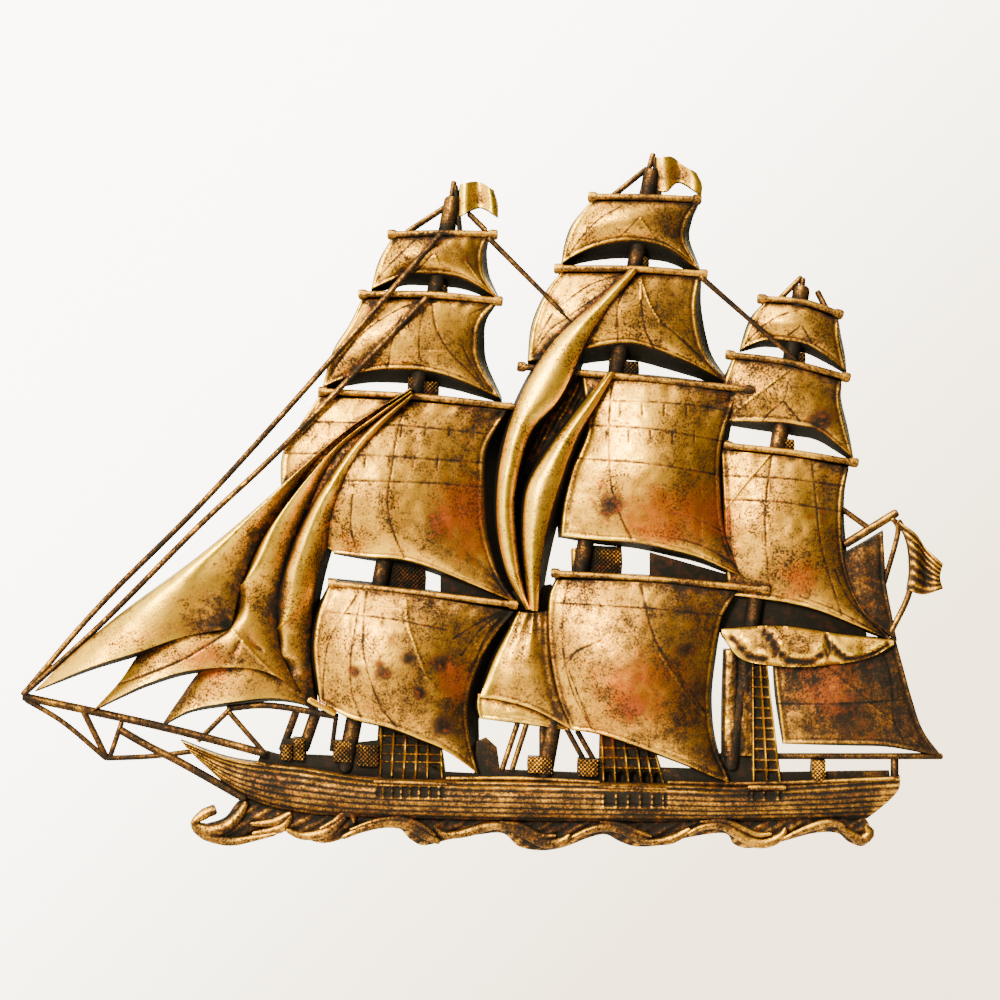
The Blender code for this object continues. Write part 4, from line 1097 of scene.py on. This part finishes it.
def webs():
    """Low plates in the gaps, washed near black as painted shade for these deep gaps together with the dark wash, and
    the lashed blocks and doublings that show there.
    """
    # Near-black plates: painted shade in the deep gaps between sails, together with the dark wash
    for outline in (
        [(440, 574), (505, 596), (505, 604), (440, 596)], [(650, 552), (748, 580), (748, 590), (650, 582)],
        [(508, 592), (552, 584), (552, 625), (508, 625)], [(714, 584), (850, 608), (868, 634), (868, 642), (722, 634)],
        [(386, 562), (424, 564), (424, 592), (386, 590)], [(588, 545), (622, 547), (622, 576), (588, 574)],
    ):
        plate(outline, WEB_PROUD)

    def leaning(across, down):
        return WEB_PROUD + 0.001 + 0.002 * across

    def hatched(columns, rows, across, down):
        lines = np.sin((columns * 0.85 + rows * 0.42) * 1.1 + lumps(columns, rows, 14, 71))
        return 0.0006 * lines, 0.42 - 0.22 * lines

    cloth([(566, 371), (608, 373)], [(516, 474), (556, 474)], [(528, 420)], [(588, 420)], leaning, hatched)

    low, high = WEB_PROUD + 0.002, WEB_PROUD + 0.005
    for left, top, right, bottom, proud in (
        (430, 279, 437, 293, high), (440, 284, 447, 293, high), (408, 377, 416, 394, high), (420, 381, 438, 396, high),
        (633, 251, 639, 264, high), (642, 256, 649, 266, high), (610, 358, 619, 374, high), (622, 361, 639, 376, high),
        (797, 352, 806, 364, high), (774, 434, 780, 448, high), (783, 439, 795, 450, high),
        (386, 566, 425, 589, low), (589, 549, 622, 573, low),
    ):
        knurled(left, top, right, bottom, proud)
    ridge([(575, 548, low), (576, 574, low)], 0.0060, tone=0.3)


def sea():
    """The waves: a dark wavy band under the hull with ropes of water rolling along each crest."""

    def proud(across, down):
        return SEA_PROUD * (0.62 + 0.25 * np.sin(np.pi * down))

    def ripples(columns, rows, across, down):
        wave = np.sin(columns * 0.35 + rows * 0.6) + lumps(columns, rows, 9, 51)
        return 0.0005 * wave, 0.68 - 0.15 * wave

    cloth(
        [(204, 826), (224, 819), (244, 800), (290, 809), (371, 814), (600, 817), (800, 816), (864, 816)],
        [
            (201, 839), (223, 845), (249, 841), (280, 832), (300, 838), (324, 844), (350, 837), (375, 830), (398, 829),
            (410, 840), (424, 846), (450, 840), (480, 835), (503, 834), (519, 847), (541, 851), (563, 848), (590, 838),
            (606, 835), (620, 842), (636, 847), (660, 846), (690, 838), (725, 834), (735, 845), (751, 849), (780, 843),
            (815, 834), (838, 834), (850, 843), (863, 847), (873, 839),
        ],
        [(198, 832)], [(870, 826)], proud, ripples,
    )
    high = SEA_PROUD + 0.0018
    swelling = [(0.0, 0.45), (0.25, 0.8), (0.6, 1.15), (0.85, 1.0), (1.0, 0.5)]
    for width, lift, points in WAVES:
        path = [(column, row, high + lift) for column, row in points]
        ridge(path, width, stations=swelling, tone=0.70)
    ridge([(207, 813, high), (215, 810, high)], 0.0075, tone=0.8)


def keyhole(topsail, middle_x):
    """Cuts the slot that drops over a nail out of the back of a topsail."""
    sides = 32
    past = 0.002
    cutters = bpy.data.collections.new("keyhole_cutters")
    for low, high, width, start, end in (
        (-KEYHOLE_DROP, -KEYHOLE_DROP, KEYHOLE_ENTRY_DIAMETER, -past, KEYHOLE_DEPTH),
        (-KEYHOLE_DROP, 0.0, KEYHOLE_SLOT_WIDTH, -past, KEYHOLE_LIP + past),
        (-KEYHOLE_DROP, 0.0, KEYHOLE_ENTRY_DIAMETER, KEYHOLE_LIP, KEYHOLE_DEPTH - 0.0002),
    ):
        turns = [2 * math.pi * (side + 0.5) / sides for side in range(sides)]
        round_end = [
            (middle_x + width / 2 * math.cos(turn), (high if math.sin(turn) > 0 else low) + width / 2 * math.sin(turn))
            for turn in turns
        ]
        mesh = from_rings([[Vector((x, -depth, z)) for x, z in round_end] for depth in (start, end)])
        forms.remove(mesh)
        cutters.objects.link(bpy.data.objects.new("cutter", mesh))
    whole = bpy.data.objects.new("topsail", topsail)
    bpy.context.scene.collection.objects.link(whole)
    bpy.context.scene.collection.children.link(cutters)
    cut = whole.modifiers.new("keyhole", "BOOLEAN")
    cut.operation = "DIFFERENCE"
    cut.operand_type = "COLLECTION"
    cut.collection = cutters
    bpy.context.view_layer.update()
    graph = bpy.context.evaluated_depsgraph_get()
    done = bpy.data.meshes.new_from_object(whole.evaluated_get(graph))
    forms[forms.index(topsail)] = done
    for thing in [whole, *cutters.objects]:
        bpy.data.objects.remove(thing)
    bpy.data.collections.remove(cutters)


def piece(name, *makers):
    """Runs the makers and joins the forms they make as one object that stands for the plaque's solid."""
    first = len(forms)
    for maker in makers:
        maker()
    whole = bmesh.new()
    for mesh in forms[first:]:
        whole.from_mesh(mesh)
    bmesh.ops.recalc_face_normals(whole, faces=whole.faces)
    mesh = bpy.data.meshes.new(name)
    whole.to_mesh(mesh)
    whole.free()
    for layer in ("across", "down", "ring", "index"):
        if layer in mesh.attributes:
            mesh.attributes.remove(mesh.attributes[layer])
    obj = bpy.data.objects.new(name, mesh)
    bpy.context.scene.collection.objects.link(obj)
    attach(obj, "root")
    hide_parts("ship_plaque")
    return obj


def relief_map(pieces):
    """How proud the relief stands at each step of the drawing grid, seen from the front, in metres."""
    heights = np.zeros((MAP_ROWS, MAP_COLUMNS), np.float32)
    graph = bpy.context.evaluated_depsgraph_get()
    for obj in pieces:
        tree = BVHTree.FromObject(obj, graph)
        corners = np.array(obj.bound_box)
        first_column = max(0, int(corners[:, 0].min() / GRID + ORIGIN_COLUMN) - 1)
        last_column = min(MAP_COLUMNS, int(corners[:, 0].max() / GRID + ORIGIN_COLUMN) + 2)
        first_row = max(0, int(ORIGIN_ROW - corners[:, 2].max() / GRID) - 1)
        last_row = min(MAP_ROWS, int(ORIGIN_ROW - corners[:, 2].min() / GRID) + 2)
        onwards = Vector((0, 1, 0))
        for row in range(first_row, last_row):
            z = (ORIGIN_ROW - row) * GRID
            for column in range(first_column, last_column):
                hit = tree.ray_cast(Vector(((column - ORIGIN_COLUMN) * GRID, -IN_FRONT, z)), onwards, IN_FRONT)[0]
                if hit and -hit.y > heights[row, column]:
                    heights[row, column] = -hit.y
    return heights


def blurred(heights, reach):
    """The map averaged over about `reach` steps each way, three times over for a round fall-off."""
    for _ in range(3):
        for axis in (0, 1):
            pad = [(reach + 1, reach) if axis == here else (0, 0) for here in (0, 1)]
            total = np.cumsum(np.pad(heights, pad, mode="edge"), axis=axis)
            ahead = np.take(total, range(2 * reach + 1, total.shape[axis]), axis=axis)
            behind = np.take(total, range(0, total.shape[axis] - 2 * reach - 1), axis=axis)
            heights = (ahead - behind) / (2 * reach + 1)
    return heights


def sampled(grid, columns, rows):
    """The map's values between its grid points."""
    x = np.clip(columns, 0, MAP_COLUMNS - 1.001)
    y = np.clip(rows, 0, MAP_ROWS - 1.001)
    i = x.astype(int)
    j = y.astype(int)
    u = x - i
    v = y - j
    low = grid[j, i] * (1 - u) + grid[j, i + 1] * u
    high = grid[j + 1, i] * (1 - u) + grid[j + 1, i + 1] * u
    return low * (1 - v) + high * v


def patches(columns, rows, spots):
    """How strongly soft round patches, each (column, row, radius, strength), cover each point."""
    cover = np.zeros(columns.shape)
    for column, row, radius, strength in spots:
        away = np.hypot(columns - column, rows - row) / radius
        cover = np.maximum(cover, strength * np.exp(-(away**2)))
    return cover


def weather(obj, near, wide):
    """Writes what the finish follows, point by point: hollows, worn highs, rust and smoke."""
    mesh = obj.data
    points = np.empty(len(mesh.vertices) * 3, np.float32)
    mesh.vertices.foreach_get("co", points)
    x, y, z = points.reshape(-1, 3).T
    columns = x / GRID + ORIGIN_COLUMN
    rows = ORIGIN_ROW - z / GRID
    fine = (-y - sampled(near, columns, rows)) / WORN_RISE
    broad = (sampled(wide, columns, rows) + y) / HOLLOW_DEPTH
    layers = {
        "worn": np.clip(fine, -1.5, 1.5),
        "hollow": np.clip(broad, -0.6, 1.6),
        "rust": patches(columns, rows, RUST) * (0.75 + 0.25 * lumps(columns, rows, 9, 21)),
        "smoke": patches(columns, rows, SMOKE) * (0.8 + 0.2 * lumps(columns, rows, 12, 22)),
    }
    for name, values in layers.items():
        layer = mesh.attributes.new(name, "FLOAT", "POINT")
        layer.data.foreach_set("value", values.astype(np.float32))


def linear(colour):
    """An sRGB hex colour as linear red, green, blue and alpha."""
    parts = [int(colour[start : start + 2], 16) / 255 for start in (1, 3, 5)]
    return (*[part / 12.92 if part <= 0.04045 else ((part + 0.055) / 1.055) ** 2.4 for part in parts], 1.0)


def add(tree, kind, inputs, output=0, **settings):
    """A new node's output. Each input is a number, a colour or the output that feeds it."""
    node = tree.nodes.new(kind)
    for setting, value in settings.items():
        setattr(node, setting, value)
    for place, value in inputs.items():
        if isinstance(value, bpy.types.NodeSocket):
            tree.links.new(value, node.inputs[place])
        else:
            node.inputs[place].default_value = value
    return node.outputs[output]


def antiqued_gold():
    """Moulded resin, gold leaf paint dry-brushed over a dark brown wash: bright metal on the high places and edges,
    matt brown-black in the hollows, with rust and smoke stains and fine specks.
    The wash it reads also carries painted shade on side walls, under yards and away from the light, and a painted
    highlight along crowns."""
    finish = bpy.data.materials.new("antiqued_gold_over_brown_wash")
    finish.use_nodes = True
    tree = finish.node_tree
    where = add(tree, "ShaderNodeTexCoord", {}, "Object")
    # Patchy areas 30 mm across, brush marks of 6 mm, and the grit of the casting at 1.5 mm
    clouds, brush, grit = [
        add(tree, "ShaderNodeTexNoise", {"Vector": where, "Scale": scale, "Detail": detail, "Roughness": rough}, "Fac")
        for scale, detail, rough in ((33, 4, 0.6), (170, 6, 0.68), (680, 3, 0.6))
    ]
    # The darkness written on the forms holds the dark wash together with painted shade, less a painted highlight along
    # crowns
    worn, hollow, rust, smoke, wash_and_shade = [
        add(tree, "ShaderNodeAttribute", {}, "Fac", attribute_name=name)
        for name in ("worn", "hollow", "rust", "smoke", "wash_and_shade")
    ]

    smoke = add(tree, "ShaderNodeMath", {0: brush, 1: 1.6, 2: smoke}, operation="MULTIPLY_ADD")
    smoke = add(tree, "ShaderNodeMapRange", {0: smoke, 1: 1.10, 2: 1.50, 3: 0.0, 4: 1.0})
    rust = add(tree, "ShaderNodeMath", {0: brush, 1: 1.4, 2: rust}, operation="MULTIPLY_ADD")
    rust = add(tree, "ShaderNodeMapRange", {0: rust, 1: 0.72, 2: 1.08, 3: 0.0, 4: 0.9})
    bare = add(tree, "ShaderNodeMath", {0: 1.0, 1: wash_and_shade}, operation="SUBTRACT", use_clamp=True)
    rust = add(tree, "ShaderNodeMath", {0: rust, 1: bare}, operation="MULTIPLY")
    worn = add(tree, "ShaderNodeMath", {0: worn, 1: bare}, operation="MULTIPLY")

    # How much gold is left on the wash, from 0 to 1
    gold = GOLD_LEFT
    for cause, weight in (
        (worn, 0.15), (hollow, -0.40), (wash_and_shade, -0.80), (smoke, -0.55), (clouds, 1.0), (brush, 0.9), (grit, 0.6),
    ):
        gold = add(tree, "ShaderNodeMath", {0: cause, 1: weight, 2: gold}, operation="MULTIPLY_ADD")
    gold = add(tree, "ShaderNodeClamp", {0: gold})
    tone = add(tree, "ShaderNodeValToRGB", {0: gold})
    ends = tone.node.color_ramp.elements
    for place, colour in GOLD_TONES[1:-1]:
        ends.new(place).color = linear(colour)
    ends[0].color = linear(GOLD_TONES[0][1])
    ends[-1].color = linear(GOLD_TONES[-1][1])
    stained = add(tree, "ShaderNodeMix", {0: rust, 6: tone, 7: linear("#a84a06")}, 2, data_type="RGBA")
    # Dark specks, denser where the patches are browner
    dots = add(tree, "ShaderNodeMath", {0: clouds, 1: 0.6, 2: grit}, operation="MULTIPLY_ADD")
    dots = add(tree, "ShaderNodeMapRange", {0: dots, 1: 0.65, 2: 0.71, 3: 0.75, 4: 0.0})
    colour = add(tree, "ShaderNodeMix", {0: dots, 6: stained, 7: linear("#1c1008")}, 2, data_type="RGBA")

    # Gold is metal and smooth, the wash is neither; the brush and the grit stand up 0.6 mm at most
    metal = add(tree, "ShaderNodeMapRange", {0: gold, 1: 0.12, 2: 0.50, 3: 0.10, 4: 0.95})
    uneven = add(tree, "ShaderNodeMath", {0: grit, 1: 0.5, 2: gold}, operation="MULTIPLY_ADD")
    rough = add(tree, "ShaderNodeMapRange", {0: uneven, 1: 0.35, 2: 1.15, 3: 0.72, 4: 0.31})
    height = add(tree, "ShaderNodeMath", {0: grit, 1: 0.5, 2: brush}, operation="MULTIPLY_ADD")
    bump = add(tree, "ShaderNodeBump", {"Strength": 0.4, "Distance": 0.0006, "Height": height})
    shader = tree.nodes["Principled BSDF"]
    shader.inputs["Specular IOR Level"].default_value = 0.2
    for socket, source in (("Base Color", colour), ("Metallic", metal), ("Roughness", rough), ("Normal", bump)):
        tree.links.new(source, shader.inputs[socket])
    return finish


pieces = [
    piece("fore_mast_and_sails", fore_mast),
    piece("main_mast_and_sails", main_mast),
    piece("mizzen_mast_and_sails", mizzen_mast),
    piece("head_sails", head_sails, head_stays, bowsprit),
    piece("staysails", staysails, webs),
    piece("spanker_and_flags", spanker),
    piece("hull_and_deck", hull, hull_fittings, deck),
    piece("sea", sea),
]
bpy.context.view_layer.update()
heights = relief_map(pieces)
near, wide = blurred(heights, 2), blurred(heights, 7)
finish = antiqued_gold()
for obj in pieces:
    weather(obj, near, wide)
    obj.data.materials.clear()
    obj.data.materials.append(finish)
    obj.data.shade_smooth()
    obj.data.set_sharp_from_angle(angle=SHARP_FROM)


def studio():
    """A pale room: soft warm key light from the upper left, a weak fill from the right, floor far below."""
    scene = bpy.context.scene
    world = bpy.data.worlds.new("pale_room")
    world.use_nodes = True
    scene.world = world
    tree = world.node_tree
    towards = add(tree, "ShaderNodeTexCoord", {}, "Generated")
    tints = {}
    # A bright window wall up on the left, a dim room down on the right, and a pale wall behind the plaque,
    # each one colour into another with how far the view points in a direction
    for name, direction, start, end, first, second in (
        ("room", (0.86, 0.0, -0.5), -0.50, 0.22, (3.0, 2.8, 2.1, 1.0), (0.11, 0.10, 0.085, 1.0)),
        ("wall", (0.7, 0.0, -0.7), -0.09, 0.09, (10.0, 9.5, 8.4, 1.0), (4.3, 3.5, 2.4, 1.0)),
        ("both", (0.0, 1.0, 0.0), 0.972, 0.988, "room", "wall"),
    ):
        aim = add(tree, "ShaderNodeVectorMath", {0: towards, 1: direction}, "Value", operation="DOT_PRODUCT")
        share = add(tree, "ShaderNodeMapRange", {0: aim, 1: start, 2: end}, interpolation_type="SMOOTHSTEP")
        colours = {0: share, 6: tints.get(first, first), 7: tints.get(second, second)}
        tints[name] = add(tree, "ShaderNodeMix", colours, 2, data_type="RGBA")
    air = tree.nodes["Background"]
    air.inputs["Strength"].default_value = 1.0
    tree.links.new(tints["both"], air.inputs["Color"])

    floor_form = bmesh.new()
    bmesh.ops.create_grid(floor_form, x_segments=1, y_segments=1, size=FLOOR_REACH)
    bmesh.ops.translate(floor_form, verts=floor_form.verts, vec=(0, 0, FLOOR_HEIGHT))
    floor_mesh = bpy.data.meshes.new("floor")
    floor_form.to_mesh(floor_mesh)
    floor_form.free()
    floor = bpy.data.objects.new("floor", floor_mesh)
    scene.collection.objects.link(floor)
    # Matt emulsion: pale and without gloss, it only lifts the shadows from below
    paint = bpy.data.materials.new("pale_floor_paint")
    paint.use_nodes = True
    coat = paint.node_tree.nodes["Principled BSDF"]
    coat.inputs["Base Color"].default_value = linear("#e6e3dc")
    coat.inputs["Roughness"].default_value = 0.8
    floor_mesh.materials.append(paint)
    for name, place, size, watts in (
        ("key", (-1.15, -2.2, 0.75), 0.7, 130),
        ("fill", (1.2, -3.2, 0.3), 1.2, 4),
        ("top", (-0.6, -1.0, 1.9), 0.9, 40),
        ("back_light", (0.8, 2.2, 0.9), 1.4, 90),
    ):
        lamp = bpy.data.lights.new(name, "AREA")
        lamp.shape = "DISK"
        lamp.size = size
        lamp.energy = watts
        lamp.color = WARM_LIGHT
        stand = bpy.data.objects.new(name, lamp)
        stand.location = place
        stand.rotation_mode = "QUATERNION"
        stand.rotation_quaternion = (Vector(PLAQUE_MIDDLE) - Vector(place)).to_track_quat("-Z", "Y")
        scene.collection.objects.link(stand)


def camera():
    """A long lens square to the wall, framed as the photograph is."""
    lens = bpy.data.cameras.new("camera")
    distance = 4.0
    relief_middle = 0.018
    picture = 1000
    lens.sensor_width = 36.0
    lens.lens = lens.sensor_width * (distance - relief_middle) / (picture * GRID)
    eye = bpy.data.objects.new("camera", lens)
    eye.location = ((picture / 2 - ORIGIN_COLUMN) * GRID, -distance, (ORIGIN_ROW - picture / 2) * GRID)
    eye.rotation_euler = (math.radians(90), 0, 0)
    bpy.context.scene.collection.objects.link(eye)
    bpy.context.scene.camera = eye


studio()
camera()
bpy.context.view_layer.update()
